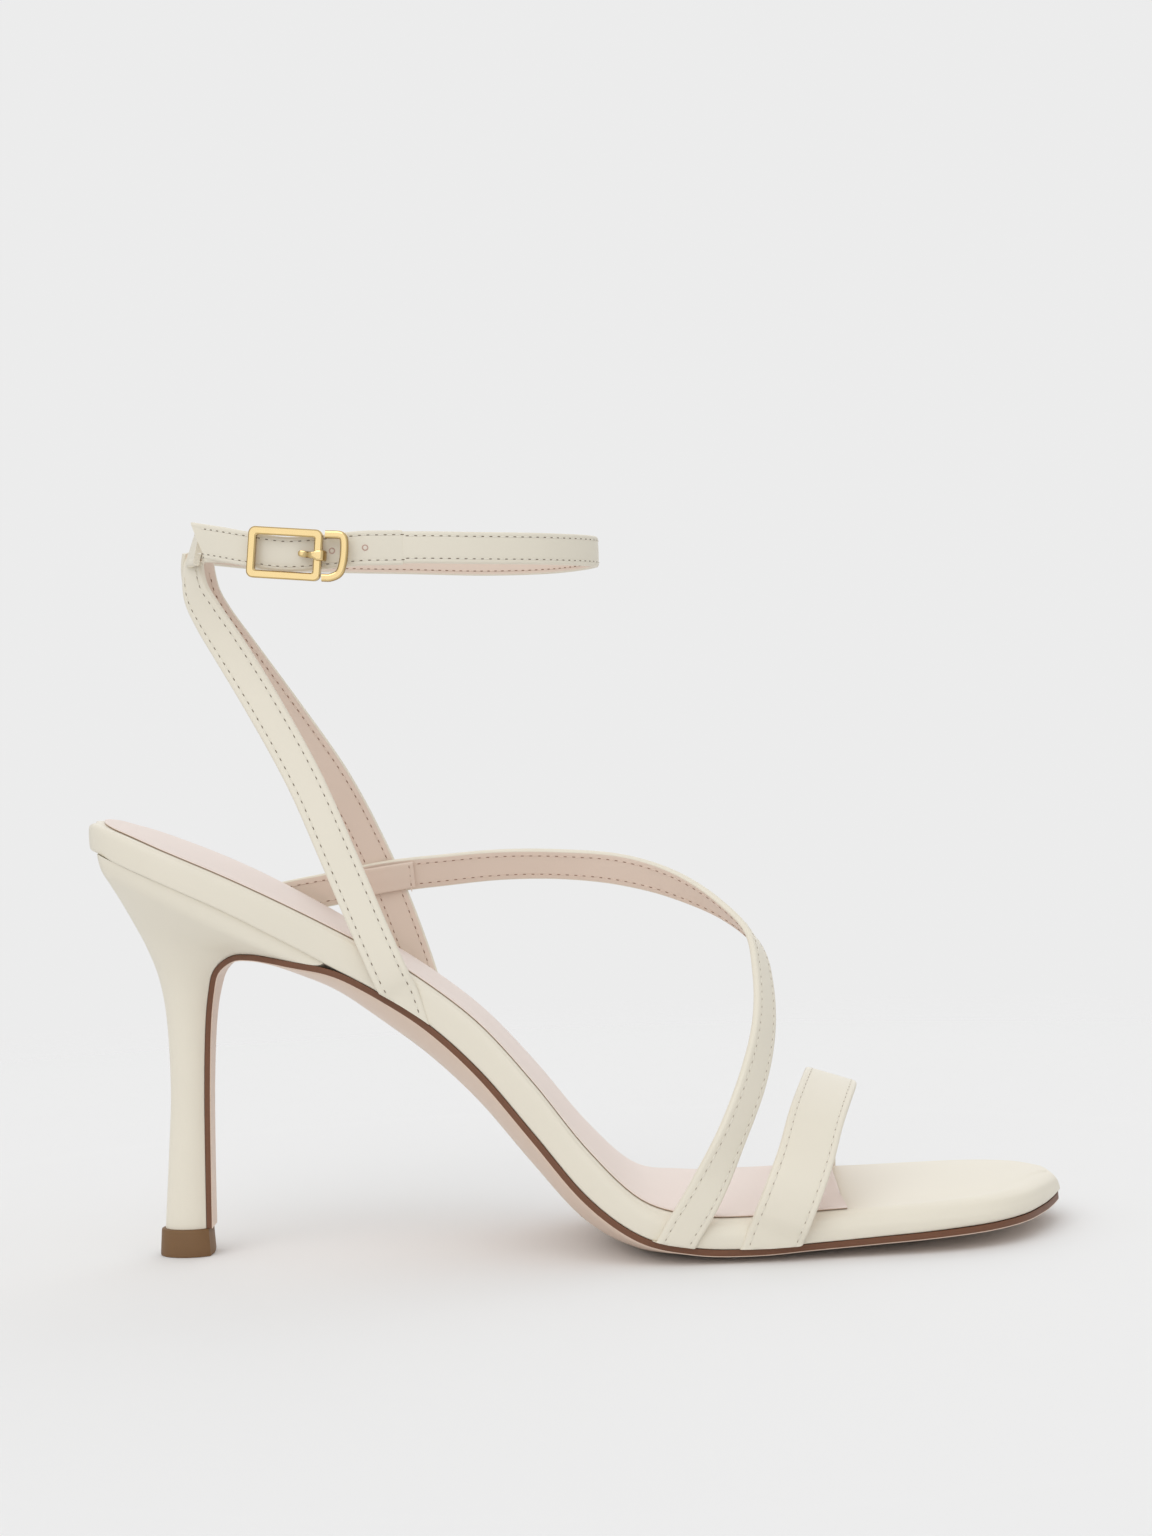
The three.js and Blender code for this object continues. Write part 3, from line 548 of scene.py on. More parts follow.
class Finish(Enum):
    """The finishes of the shoe."""

    WRAP = Leather("wrapped_leather", CREAM)
    STRAP = Leather("strap_leather", CREAM, row=1.0)
    LINING = Leather("lining_leather", BLUSH, roughness=0.55, depth=0.008, coat=0.05)
    SOCK = Leather("sock_leather", (0.83, 0.727, 0.67), roughness=0.6, grain=0.4, depth=0.008,
                   coat=0.04)
    SOLE = SoleSheet("sole_leather", (0.74, 0.585, 0.475))
    SOLE_EDGE = Speckled("sole_edge", (0.155, 0.06, 0.026))
    # The sock's cut edge in dark brown: partly the edge's own colour, partly painted shade under
    # it.
    SOCK_EDGE = Speckled("sock_edge", (0.42, 0.29, 0.20))
    LIFT = Speckled("lift_rubber", (0.185, 0.096, 0.036), grain=0.35, detail=(3, 0.6), patch=5,
                    patch_share=0.5, shades=(0.88, 1.1), roughness=0.58, swing=0.15, depth=0.03)
    # The plating's second colour is painted shade for the metal's sides.
    GOLD = Plating("gilt_metal", (0.95, 0.73, 0.37), (0.42, 0.27, 0.09))
    THREAD = Speckled("cream_thread", (0.86, 0.815, 0.71), **TWISTED)
    LINING_THREAD = Speckled("lining_thread", (0.80, 0.66, 0.56), **TWISTED)
    # Dark marks at the needle holes: painted shade in the holes, paler on the toe and instep
    # straps.
    NEEDLE_HOLE = Speckled("needle_hole", (0.20, 0.155, 0.11), **TWISTED)
    SOFT_HOLE = Speckled("soft_hole", (0.47, 0.40, 0.32), **TWISTED)
    LINING_HOLE = Speckled("lining_hole", (0.30, 0.165, 0.11), **TWISTED)
    HOLE_RIM = Speckled("hole_rim", (0.60, 0.41, 0.34), **TWISTED)
    HOLE_INSIDE = Speckled("hole_inside", (0.86, 0.79, 0.69), **TWISTED)


class Palette:
    """Each finish's material, made once."""

    def __init__(self) -> None:
        """Starts empty."""
        self.made: dict[Finish, bpy.types.Material] = {}

    def get(self, finish: Finish) -> bpy.types.Material:
        """The material of a finish."""
        if finish not in self.made:
            self.made[finish] = finish.value.build()
        return self.made[finish]


# The sole's form


@dataclass
class SoleForm:
    """Outline and heights of the sole, which every other piece follows."""

    length: float = 222.4
    heel_overhang: float = 20.4
    ball_half_width: float = 36
    seat_rise: float = 91.3
    toe_spring: float = 3.3
    wall_height: float = 7.2
    wall_tuck: float = 1.0
    seat_tuck: float = 1.2
    edge_rounding: float = 3.2
    footbed_crown: float = 0.4
    inner_fall: float = 2.5
    shank_belly: float = 8.3
    outsole_thickness: float = 1.4
    rim_lift: float = 1.6
    clearance: float = 0.3
    # along, outer, inner, rise, spring, wall, edge, shank, tread, fall
    sections: tuple[Row, ...] = (
        (0, 0.05, 0.05, 1, 0, 0.8, 0.3, 0, 0, 0),
        (0.01, 0.31, 0.31, 0.996, 0, 0.87, 0.35, 0, 0, 0),
        (0.04, 0.52, 0.52, 0.965, 0, 0.983, 0.45, 0, 0, 0),
        (0.09, 0.67, 0.665, 0.912, 0, 1.017, 0.45, 0, 0, 0),
        (0.151, 0.7, 0.665, 0.841, 0, 1.063, 0.45, 0, 0, 0),
        (0.202, 0.69, 0.625, 0.773, 0, 1.129, 0.45, 0.2, 0, 0.1),
        (0.252, 0.68, 0.58, 0.703, 0, 1.185, 0.5, 0.52, 0, 0.3),
        (0.303, 0.69, 0.555, 0.632, 0, 1.191, 0.5, 0.78, 0, 0.5),
        (0.353, 0.725, 0.55, 0.549, 0, 1.227, 0.5, 0.92, 0, 0.65),
        (0.404, 0.78, 0.59, 0.431, 0, 1.427, 0.55, 0.98, 0, 0.8),
        (0.454, 0.853, 0.67, 0.282, 0, 1.55, 0.6, 1, 0, 0.85),
        (0.505, 0.925, 0.78, 0.13, 0, 1.432, 0.7, 0.85, 0.2, 0.9),
        (0.555, 0.98, 0.89, 0.039, 0, 1.06, 0.8, 0.45, 0.8, 0.85),
        (0.605, 1, 0.97, 0.008, 0, 0.902, 0.9, 0.1, 1.2, 0.2),
        (0.666, 0.995, 1, 0, 0, 0.883, 0.95, 0, 1.35, 0),
        (0.727, 0.96, 0.985, 0, 0.17, 0.863, 1, 0, 1.5, 0.05),
        (0.787, 0.928, 0.95, 0, 0.35, 0.843, 1, 0, 1.2, 0.15),
        (0.848, 0.885, 0.93, 0, 0.53, 0.823, 1, 0, 1, 0.2),
        (0.906, 0.77, 0.91, 0, 0.7, 0.803, 1, 0, 0.75, 0.25),
        (0.945, 0.575, 0.85, 0, 0.82, 0.783, 1, 0, 0.55, 0.3),
        (0.972, 0.31, 0.73, 0, 0.91, 0.743, 1, 0, 0.35, 0.25),
        (0.986, 0.12, 0.61, 0, 0.95, 0.663, 1, 0, 0.2, 0.15),
        (0.995, -0.03, 0.49, 0, 0.98, 0.543, 1, 0, 0.1, 0.05),
        (1, -0.13, 0.38, 0, 1, 0.403, 1, 0, 0, 0),
    )
    stations: int = 200

    def __post_init__(self) -> None:
        """Reads the table and draws the smooth plan outline."""
        read = [column(self.sections, 0, i) for i in range(10)]
        (_, self.outer, self.inner, self.rise, self.spring, self.wall, self.edge, self.shank,
         self.tread, self.fall) = read
        self.rim_base = self.rim_lift + self.outsole_thickness + self.clearance
        outer = [(self.x_at(r[0]), -r[1] * self.ball_half_width) for r in self.sections]
        inner = [(self.x_at(r[0]), r[2] * self.ball_half_width) for r in self.sections]
        loop = centripetal(np.array(outer + inner[::-1]), True, 30)
        start, tip = int(np.argmin(loop[:, 0])), int(np.argmax(loop[:, 0]))
        loop = np.roll(loop, -start, axis=0)
        tip = (tip - start) % len(loop)
        halves = (loop[: tip + 1], np.vstack((loop[tip:], loop[:1]))[::-1])
        share = (1 - np.cos(np.pi * np.arange(self.stations + 1) / self.stations)) / 2
        self.plan_x = loop[0, 0] + (loop[tip, 0] - loop[0, 0]) * share
        sides = []
        for half in halves:
            rising = np.maximum.accumulate(half[:, 0] + np.arange(len(half)) * 1e-9)
            sides.append(np.stack((self.plan_x, np.interp(self.plan_x, rising, half[:, 1])), 1))
        # A loop from the heel's back along the outer side to the toe's tip and back
        self.loop = np.vstack((sides[0], sides[1][-2:0:-1]))
        run = unit(np.roll(self.loop, -1, axis=0) - np.roll(self.loop, 1, axis=0))
        self.normals = np.stack((run[:, 1], -run[:, 0]), 1)

    def x_at(self, along: Array) -> Array:
        """The place along X of a share of the sole's length."""
        return np.asarray(along) * self.length - self.heel_overhang

    def along(self, x: Array) -> Array:
        """The share of the sole's length at a place along X."""
        return (np.asarray(x) + self.heel_overhang) / self.length

    def rim(self, along: Array) -> Array:
        """Height of the joint between platform and outsole."""
        return (self.rim_base + self.rise(along) * self.seat_rise
                + self.spring(along) * self.toe_spring)

    def footbed(self, along: Array) -> Array:
        """Height of the footbed at its middle."""
        return self.rim(along) + self.wall(along) * self.wall_height

    def belly(self, along: Array, across: Array) -> Array:
        """How far the underside hangs below the rim."""
        depth = self.shank(along) * self.shank_belly + self.tread(along) * self.rim_lift
        return depth * (1 - np.abs(across) ** 2.4)

    def drop(self, along: Array, across: Array) -> Array:
        """How far the footbed lies below its outer edge."""
        return self.inner_fall * self.fall(along) * (1 + across) / 2

    def outline(self, along: Array, grow: float = 0) -> tuple[Array, Array]:
        """Middle and half width of the plan outline, moved outwards by a distance."""
        outer = -self.outer(along) * self.ball_half_width - grow
        inner = self.inner(along) * self.ball_half_width + grow
        return (outer + inner) / 2, (inner - outer) / 2

    def inset(self, distance: Array | float) -> Array:
        """The plan loop moved inwards by a distance."""
        depth = np.broadcast_to(np.asarray(distance, float), (len(self.loop),))
        return self.loop - self.normals * depth[:, None]

    def rungs(self, ring: Array, shares: Sequence[float]) -> Array:
        """Points across the sole between the two sides of a ring.

        Args:
            ring: a ring on the plan loop's points, with two or three axes.
            shares: places across, -1 at the outer side and 1 at the inner.

        Returns:
            An array of stations, shares and axes.
        """
        half = self.stations
        outer = ring[: half + 1]
        inner = np.vstack((ring[:1], ring[:half - 1:-1]))
        t = (np.array(shares) + 1)[None, :, None] / 2
        return outer[:, None] * (1 - t) + inner[:, None] * t


def share_across(form: SoleForm, points: Array) -> Array:
    """Where plan points lie across the sole, from -1 to 1."""
    middle, half = form.outline(form.along(points[..., 0]))
    return np.clip((points[..., 1] - middle) / np.maximum(half, 1e-3), -1, 1)


@dataclass
class Platform:
    """The footbed's board in its leather wrap."""

    form: SoleForm
    steps: int = 5
    curl_from: float = 0.76
    curl_run: float = 0.12
    # The wall's section from the bottom up, as weights of tuck, edge, wall and edge height
    plain: tuple[Row, ...] = ((0.75, 0, 0, 0), (0.45, 0, 0.01, 0), (0.15, 0, 0.1, 0),
                              (0, 0, 0.5, 0), (0, 0.02, 0.88, 0.02))
    curled: tuple[Row, ...] = ((1.2, 0, 0, 0), (0.8, 0, 0.02, 0), (0.38, 0, 0.16, 0),
                               (0.08, 0, 0.45, 0), (0, 0.02, 0.85, 0.02))
    rounding: tuple[Row, ...] = ((0, 0.12, 1, 0.2), (0, 0.36, 1, 0.64), (0, 1.02, 1, 0.96),
                                 (0, 1.7, 1, 1))

    def sections(self) -> list[Array]:
        """The wall's weights at each height, round the whole outline."""
        along = self.form.along(self.form.loop[:, 0])
        curl = np.clip((along - self.curl_from) / self.curl_run, 0, 1)[:, None]
        plain, curled = (centripetal(np.array(rows + self.rounding, float), False, self.steps)
                         for rows in (self.plain, self.curled))
        return [(low * (1 - curl) + high * curl).T for low, high in zip(plain, curled)]

    def build(self, palette: Palette) -> None:
        """Builds and dresses the piece."""
        form = self.form
        along = form.along(form.loop[:, 0])
        height = form.wall(along) * form.wall_height
        edge = np.minimum(form.edge(along) * form.edge_rounding, height * 0.6)
        tuck = np.minimum(form.wall_tuck, np.abs(form.outline(along)[1]) * 0.3)
        rings = []
        for a, b, c, d in self.sections():
            plan = form.inset(a * tuck + b * edge)
            here = form.along(plan[:, 0])
            rim, top = form.rim(here), form.footbed(here)
            rise = np.maximum(top - rim - edge, 0.1)
            z = rim + c * rise + d * np.minimum(edge, (top - rim) - 0.1)
            z = z - form.drop(here, share_across(form, plan)) * (z - rim) / (top - rim)
            rings.append(np.column_stack((plan, z)))
        surface = Surface()
        surface.add_rings(np.stack(rings), caps=False)
        shares = np.linspace(-1, 1, 21)
        blend = np.minimum(1, (1 - np.abs(shares)) * 5)[None, :]
        for ring, face in ((rings[-1], self._top), (rings[0], self._bottom)):
            grid = form.rungs(ring, shares)
            grid[..., 2] = grid[..., 2] * (1 - blend) + face(grid) * blend
            surface.add_grid(grid)
        piece = surface.to_object("platform_wrap", [palette.get(Finish.WRAP)], 60)
        dress(piece, "wrapped_leather", "platform")

    def _top(self, points: Array) -> Array:
        """Footbed height at plan points."""
        along = self.form.along(points[..., 0])
        across = share_across(self.form, points)
        crown = self.form.footbed_crown * (1 - across**2)
        return self.form.footbed(along) + crown - self.form.drop(along, across)

    def _bottom(self, points: Array) -> Array:
        """Underside height at plan points."""
        along = self.form.along(points[..., 0])
        return self.form.rim(along) - self.form.belly(along, share_across(self.form, points))


@dataclass
class Sock:
    """The thin lining on the footbed, cut straight at the toes."""

    form: SoleForm
    length: float = 170
    thickness: float = 0.6
    inset: float = 0.5
    lean: float = 1.4
    back_margin: float = 2.2
    # How far in the edge lies and at what share of the thickness, from the bottom up
    edge_profile: tuple[Row, ...] = ((0.06, 0.05), (0.0, 0.4), (0.08, 0.78), (0.4, 1.0))

    def build(self, palette: Palette) -> None:
        """Builds and dresses the piece."""
        form = self.form
        along = form.along(form.loop[:, 0])
        edge = form.edge(along) * form.edge_rounding + self.inset
        edge = edge + self.back_margin * np.maximum(-form.normals[:, 0], 0) ** 2 * (along < 0.3)
        end_x = form.x_at(self.length / form.length)
        keep = int(np.searchsorted(form.plan_x, end_x))
        shares = np.linspace(-1, 1, 25)
        layers = []
        for depth, lift in self.edge_profile:
            grid = form.rungs(form.inset(edge + depth), shares)[:keep]
            last = grid[-1:].copy()
            last[..., 0] = end_x + self.lean * shares[None, :] - depth
            grid = np.concatenate((grid, last))
            here = form.along(grid[..., 0])
            across = share_across(form, grid)
            crown = form.footbed_crown * (1 - across**2) - form.drop(here, across)
            z = form.footbed(here) + crown + lift * self.thickness
            layers.append(np.concatenate((grid, z[..., None]), axis=-1))
        surface = Surface()
        sides = [np.vstack((layer[:, 0], layer[-1, 1:-1], layer[::-1, -1])) for layer in layers]
        surface.add_rings(np.stack(sides), caps=False)
        around = len(sides[0])
        # The edge's lowest band and the underside take the dark brown, painted shade under the
        # sock's edge.
        surface.finishes[:around] = [1] * around
        surface.add_grid(layers[-1])
        surface.add_grid(layers[0], 1)
        materials = [palette.get(Finish.SOCK), palette.get(Finish.SOCK_EDGE)]
        dress(surface.to_object("sock_lining", materials, 50), "sock_leather", "insole_sock")


# Heel, lift and outsole


@dataclass
class HeelForm:
    """The heel's side view and plan."""

    form: SoleForm
    reach: float = 36
    seat_half_width: float = 24
    lift_height: float = 6
    stem_wrap: float = math.radians(38)
    # back, backRise, front, frontRise, width, seat
    levels: tuple[Row, ...] = (
        (0.309, 0, 0.099, 0, 0.2, 0),
        (0.247, 0.18, 0.106, 0.255, 0.19, 0),
        (0.196, 0.36, 0.117, 0.52, 0.195, 0),
        (0.211, 0.54, 0.14, 0.754, 0.235, 0),
        (0.278, 0.65, 0.172, 0.89, 0.31, 0),
        (0.396, 0.733, 0.222, 0.98, 0.41, 0.04),
        (0.515, 0.795, 0.345, 1.035, 0.525, 0.12),
        (0.65, 0.862, 0.486, 1.045, 0.66, 0.3),
        (0.76, 0.915, 0.638, 1.035, 0.79, 0.55),
        (0.84, 0.955, 0.786, 1.018, 0.92, 0.85),
        (0.885, 1, 0.93, 1.004, 1, 1),
        (0.9, 1.06, 1, 1.03, 1, 1),
    )

    def __post_init__(self) -> None:
        """Reads the table."""
        rows = [(i, *row) for i, row in enumerate(self.levels)]
        (self.back, self.back_rise, self.front, self.front_rise, self.width,
         self.seat) = [column(rows, 0, i + 1) for i in range(6)]
        self.top = len(rows) - 1
        self.foot = self.lift_height + self.form.clearance

    def side(self, level: Array) -> tuple[Array, ...]:
        """Back and front points at a level, in side view."""
        back_top = self.form.rim(0.0)
        front_top = self.form.rim(self.form.along(self.reach))
        return (-self.back(level) * self.form.heel_overhang,
                self.foot + self.back_rise(level) * (back_top - self.foot),
                self.front(level) * self.reach,
                self.foot + self.front_rise(level) * (front_top - self.foot))

    def plan(self, level: Array, turn: float) -> tuple[Array, Array]:
        """Share from back to front, and Y, at a place round the heel."""
        seat = self.seat(level)
        limit = math.pi / 2 + self.stem_wrap * (1 - seat)
        angle = turn * limit
        share = (1 - np.cos(angle)) / (1 - np.cos(limit))
        back_x, _, front_x, _ = self.side(level)
        x = back_x + (front_x - back_x) * share
        stem = self.width(level) * self.seat_half_width * np.sin(angle)
        middle, half = self.form.outline(self.form.along(x), -self.form.seat_tuck)
        edge = middle + math.copysign(1, turn) * np.maximum(half, 0)
        lean = abs(turn) ** 0.5 if abs(turn) < 0.1 else 1.0
        return share, stem * (1 - seat) + edge * seat * (0 if turn == 0 else lean)

    def string(self, levels: Array, turn: float) -> Array:
        """Points up the heel's outside at a place round it."""
        back_x, back_z, front_x, front_z = self.side(levels)
        share, y = self.plan(levels, turn)
        return np.stack((back_x + (front_x - back_x) * share, y,
                         back_z + (front_z - back_z) * share), 1)

    def breast(self, levels: Array, across: float) -> Array:
        """Points up the heel's breast at a place across it."""
        _, _, front_x, front_z = self.side(levels)
        inner, outer = self.plan(levels, 1.0)[1], self.plan(levels, -1.0)[1]
        drop = self.form.belly(self.form.along(front_x), across)
        return np.stack((front_x, (inner + outer) / 2 + across * (inner - outer) / 2,
                         front_z - drop), 1)

    def trimmed(self, path: Array, count: int) -> Array:
        """A path up the heel, cut at the seat joint and sampled evenly by height.

        Args:
            path: the whole path, with many points.
            count: points that come back.

        Returns:
            The cut path.
        """
        joint = self.form.rim(self.form.along(path[:, 0])) - 0.08
        over = np.nonzero(path[:, 2] >= joint)[0]
        end = len(path) - 1
        if len(over):
            i = max(int(over[0]), 1)
            before = joint[i - 1] - path[i - 1, 2]
            after = path[i, 2] - joint[i]
            t = before / max(before + after, 1e-6)
            path = np.vstack((path[:i], path[i - 1] * (1 - t) + path[i] * t))
            end = i
        length = lengths_of(path[: end + 1])
        return read_line(path[: end + 1], length, np.linspace(0, length[-1], count))


@dataclass
class Heel:
    """The slim covered heel and its rubber lift."""

    heel: HeelForm
    lift_proud: float = 0.9
    lift_flare: float = 0.45

    def build(self, palette: Palette) -> None:
        """Builds and dresses both pieces."""
        levels = np.linspace(0, self.heel.top, 400)
        turns = np.sin(np.linspace(-1, 1, 49) * np.pi / 2) * 0.35 + np.linspace(-1, 1, 49) * 0.65
        strings = [self.heel.trimmed(self.heel.string(levels, float(t)), 120) for t in turns]
        strings += [self.heel.trimmed(self.heel.breast(levels, float(a)), 120)
                    for a in np.linspace(0.9, -0.9, 13)]
        rings = np.stack(strings, 1)
        surface = Surface()
        surface.add_rings(rings)
        piece = surface.to_object("heel_cover", [palette.get(Finish.WRAP)], 50)
        dress(piece, "wrapped_leather", "heel")
        self._lift(palette, rings[0])

    def _lift(self, palette: Palette, foot: Array) -> None:
        """Builds the lift from the heel's foot."""
        plan = foot[:, :2]
        middle = plan.mean(0)
        away = unit(plan - middle)
        height = self.heel.foot - 0.04
        profile = ((0.35, 0.0), (0.08, 0.12), (0, 0.45), (0, height * 0.5), (0, height - 0.5),
                   (0.05, height - 0.15), (0.3, height))
        rings = []
        for inset, z in profile:
            grow = self.lift_proud + self.lift_flare * (1 - z / height) - inset
            rings.append(np.column_stack((plan + away * grow, np.full(len(plan), z))))
        surface = Surface()
        surface.add_rings(np.stack(rings))
        dress(surface.to_object("lift_block", [palette.get(Finish.LIFT)], 35), "lift_rubber",
              "top_lift")


@dataclass
class Outsole:
    """One thin sheet from the lift up the breast, under the arch and along to the toe."""

    form: SoleForm
    heel: HeelForm
    breast_thickness: float = 1.2
    rim_inset: float = 0.45
    proud: float = 0.14
    gap: float = 0.08
    # Share of the sheet's depth, and share of proud by which its edge stands out there
    edge_profile: tuple[Row, ...] = ((0, 0), (0.06, 1), (0.32, 1), (0.58, 0.9), (0.87, 0.7),
                                     (1, -0.3))
    station_step: float = 1.4
    toe_length: float = 14
    bend_rounds: int = 6
    bend_reach: float = 6
    bend_above: float = 40

    def build(self, palette: Palette) -> None:
        """Builds and dresses the piece."""
        shares = np.concatenate(([-1], np.linspace(-0.94, 0.94, 15), [1]))
        upper, away, thickness = self._stations(shares)
        form = self.form
        rings = []
        for face, way, depth in zip(upper, away, thickness):
            rows = [face + way * (self.gap + level * (depth[:, None] + form.clearance - self.gap))
                    for level, _ in self.edge_profile]
            out = [np.array((0, self.proud * share, 0)) for _, share in self.edge_profile]
            left = [row[0] - shift for row, shift in zip(rows, out)]
            right = [row[-1] + shift for row, shift in zip(rows, out)]
            ring = np.vstack((rows[0][1:-1], right, rows[-1][1:-1][::-1], left[::-1]))
            ring[:, 2] = np.maximum(ring[:, 2], 0)
            rings.append(ring)
        rings = np.stack(rings)
        rings[0, :, 2] = np.minimum(rings[0, :, 2], self.heel.foot)
        inside = len(shares) - 2
        finish = [1] * (inside - 1) + [1, 1, 1, 1, 0, 0] + [0] * (inside + 1) + [0, 1, 1, 1, 1]
        surface = Surface()
        surface.add_rings(rings, finish=finish[: rings.shape[1]])
        materials = [palette.get(Finish.SOLE), palette.get(Finish.SOLE_EDGE)]
        dress(surface.to_object("sole_sheet", materials, 50), "sole_leather", "outsole")

    def _stations(self, shares: Array) -> tuple[Array, Array, Array]:
        """The sheet's upper face, the way down through it and its thickness, at each station."""
        form, heel = self.form, self.heel
        levels = np.linspace(0, heel.top - 1, 150)
        front = np.stack([heel.breast(levels, float(s)) for s in shares], 1)
        first = form.x_at(form.along(heel.reach + 2))
        ring = form.inset(self.rim_inset)
        grid = form.rungs(ring, shares)
        grid = grid[grid[:, 0, 0] > first]
        along = form.along(grid[..., 0])
        z = form.rim(along) - form.belly(along, shares[None, :])
        under = np.concatenate((grid, z[..., None]), axis=-1)
        joined = np.vstack((front, under))
        middle = joined[:, len(shares) // 2 - 3, :]
        length = lengths_of(middle)
        total = length[-1]
        toe = total - self.toe_length * np.cos(np.linspace(0, np.pi / 2, 30))
        wanted = np.concatenate((np.arange(0, toe[0], self.station_step), toe))
        smooth = np.stack([read_line(joined[:, j], length, wanted) for j in range(len(shares))], 1)
        for _ in range(self.bend_rounds):
            mid = smooth[1:-1] * 0.5 + (smooth[:-2] + smooth[2:]) * 0.25
            x = smooth[1:-1, :, 0:1]
            near = np.exp(-((x - heel.reach) / self.bend_reach) ** 2)
            near = near * (smooth[1:-1, :, 2:3] > self.bend_above)
            smooth[1:-1] = smooth[1:-1] * (1 - near) + mid * near
        run = np.gradient(smooth, axis=0)
        away = unit(np.stack((run[..., 2], np.zeros(run.shape[:2]), -run[..., 0]), -1))
        share = np.clip(wanted / (length[149] + 6), 0, 1)
        thick = self.breast_thickness + (form.outsole_thickness - self.breast_thickness) * share**4
        thickness = np.broadcast_to(thick[:, None], smooth.shape[:2])
        return smooth, away, thickness


# Straps


@dataclass
class StrapPath:
    """A strap's centre line and the way that its outside faces, sampled evenly."""

    centre: Array
    out: Array
    closed: bool = False
    step: float = 0.9

    def __post_init__(self) -> None:
        """Samples the curve."""
        centre, out = (centripetal(points, self.closed, 24) for points in (self.centre, self.out))
        if self.closed:
            centre, out = np.vstack((centre, centre[:1])), np.vstack((out, out[:1]))
        lengths = lengths_of(centre)
        self.length = float(lengths[-1])
        self.at = np.linspace(0, self.length, max(int(self.length / self.step), 4) + 1)
        if self.closed:
            self.at = self.at[:-1]
        self.middle = read_line(centre, lengths, self.at)
        facing = read_line(out, lengths, self.at)
        if self.closed:
            run = np.roll(self.middle, -1, axis=0) - np.roll(self.middle, 1, axis=0)
        else:
            run = np.gradient(self.middle, axis=0)
        self.run = unit(run)
        facing -= self.run * np.sum(facing * self.run, axis=1, keepdims=True)
        self.facing = unit(facing)
        self.side = np.cross(self.run, self.facing)

    def nearest(self, spot: Array) -> float:
        """The length along the strap nearest to a point."""
        return float(self.at[np.argmin(np.linalg.norm(self.middle - spot, axis=1))])

    def where_x(self, x: float, first: float = 0.0) -> float:
        """The first length, past another, where the strap crosses a place along X."""
        crossing = np.sign(self.middle[1:, 0] - x) != np.sign(self.middle[:-1, 0] - x)
        return float(self.at[1:][crossing & (self.at[1:] > first)][0])

    def _read(self, values: Array, at: Array) -> Array:
        """Values of the samples at lengths along the strap."""
        ends = self.at
        if self.closed:
            values, ends = np.vstack((values, values[:1])), np.append(ends, self.length)
        return read_line(values, ends, at)

    def point(self, at: Array, across: float, out: float) -> Array:
        """Points on the strap, at lengths along it, a place across and a height out."""
        return self._read(self.middle + self.side * across + self.facing * out, at)

    def facing_at(self, at: Array) -> Array:
        """The way that the outside faces at lengths along the strap."""
        return unit(self._read(self.facing, at))


@dataclass
class StitchRow:
    """One row of stitches on a strap."""

    start: float
    end: float
    outside: bool = True
    sides: tuple[int, ...] = (-1, 1)


@dataclass
class Strap:
    """A lined leather strap with turned edges."""

    name: str
    path: StrapPath
    width: float = 8.2
    thickness: float = 1.5
    corner: float = 0.55
    back_corner: float = 0.35
    slant: float = 0.0
    floor: Callable[[Array], Array] | None = None
    rows: tuple[StitchRow, ...] = ()
    pitch: float = 2.2
    inset: float = STITCH_INSET
    # The dark mark at each needle hole is painted shade: its length as a share of the pitch, and
    # its finish.
    hole: float = 0.33
    mark: Finish = Finish.NEEDLE_HOLE
    outside: Finish = Finish.STRAP

    def section(self) -> tuple[Array, Array, list[int]]:
        """The strap's section: places across, heights out and a finish for each face."""
        reach, depth, row = self.width / 2, self.thickness / 2, self.width / 2 - self.inset
        corner, back = self.corner, self.back_corner
        flip = lambda places: [(-a, b) for a, b in reversed(places)]
        half = [(row - 1.2, 0.04), (row - 0.4, 0.015), (row, -0.02), (row + 0.35, 0.01),
                (reach - corner, 0)]
        top = [(a, depth + b) for a, b in flip(half) + [(0, 0.06)] + half]
        edge = [(reach - corner + corner * math.cos(turn), depth - corner + corner * math.sin(turn))
                for turn in np.radians((60, 30, 0))]
        edge += [(reach, -depth + back), (reach - back * 0.35, -depth + back * 0.3),
                 (reach - back, -depth)]
        under = [(row, -depth + 0.05), (0, -depth), (-row, -depth + 0.05)]
        points = top + edge + under + flip(edge)
        lining = range(len(top + edge) - 1, len(top + edge + under))
        finish = [1 if i in lining else 0 for i in range(len(points))]
        array = np.array(points)
        return array[:, 0], array[:, 1], finish

    def build(self, palette: Palette) -> bpy.types.Object:
        """Builds the strap's mesh."""
        across, out, finish = self.section()
        path = self.path
        rings = (path.middle[:, None] + path.side[:, None] * across[None, :, None]
                 + path.facing[:, None] * out[None, :, None])
        if self.slant:
            ramp = np.clip((path.at - path.length + 7) / 7, 0, 1) ** 2
            skew = ramp[:, None] * self.slant * (across / (self.width / 2))[None, :]
            rings = rings + path.run[:, None] * skew[..., None]
        if self.floor is not None:
            lowest = self.floor(rings[..., 0])
            rings[..., 2] = np.maximum(rings[..., 2], lowest)
        surface = Surface()
        places = np.broadcast_to(across / (self.width / 2 - self.inset), rings.shape[:2])
        surface.add_rings(rings, closed=path.closed, finish=finish, across=places.copy())
        return surface.to_object(self.name, [palette.get(self.outside), palette.get(Finish.LINING)],
                                 60)


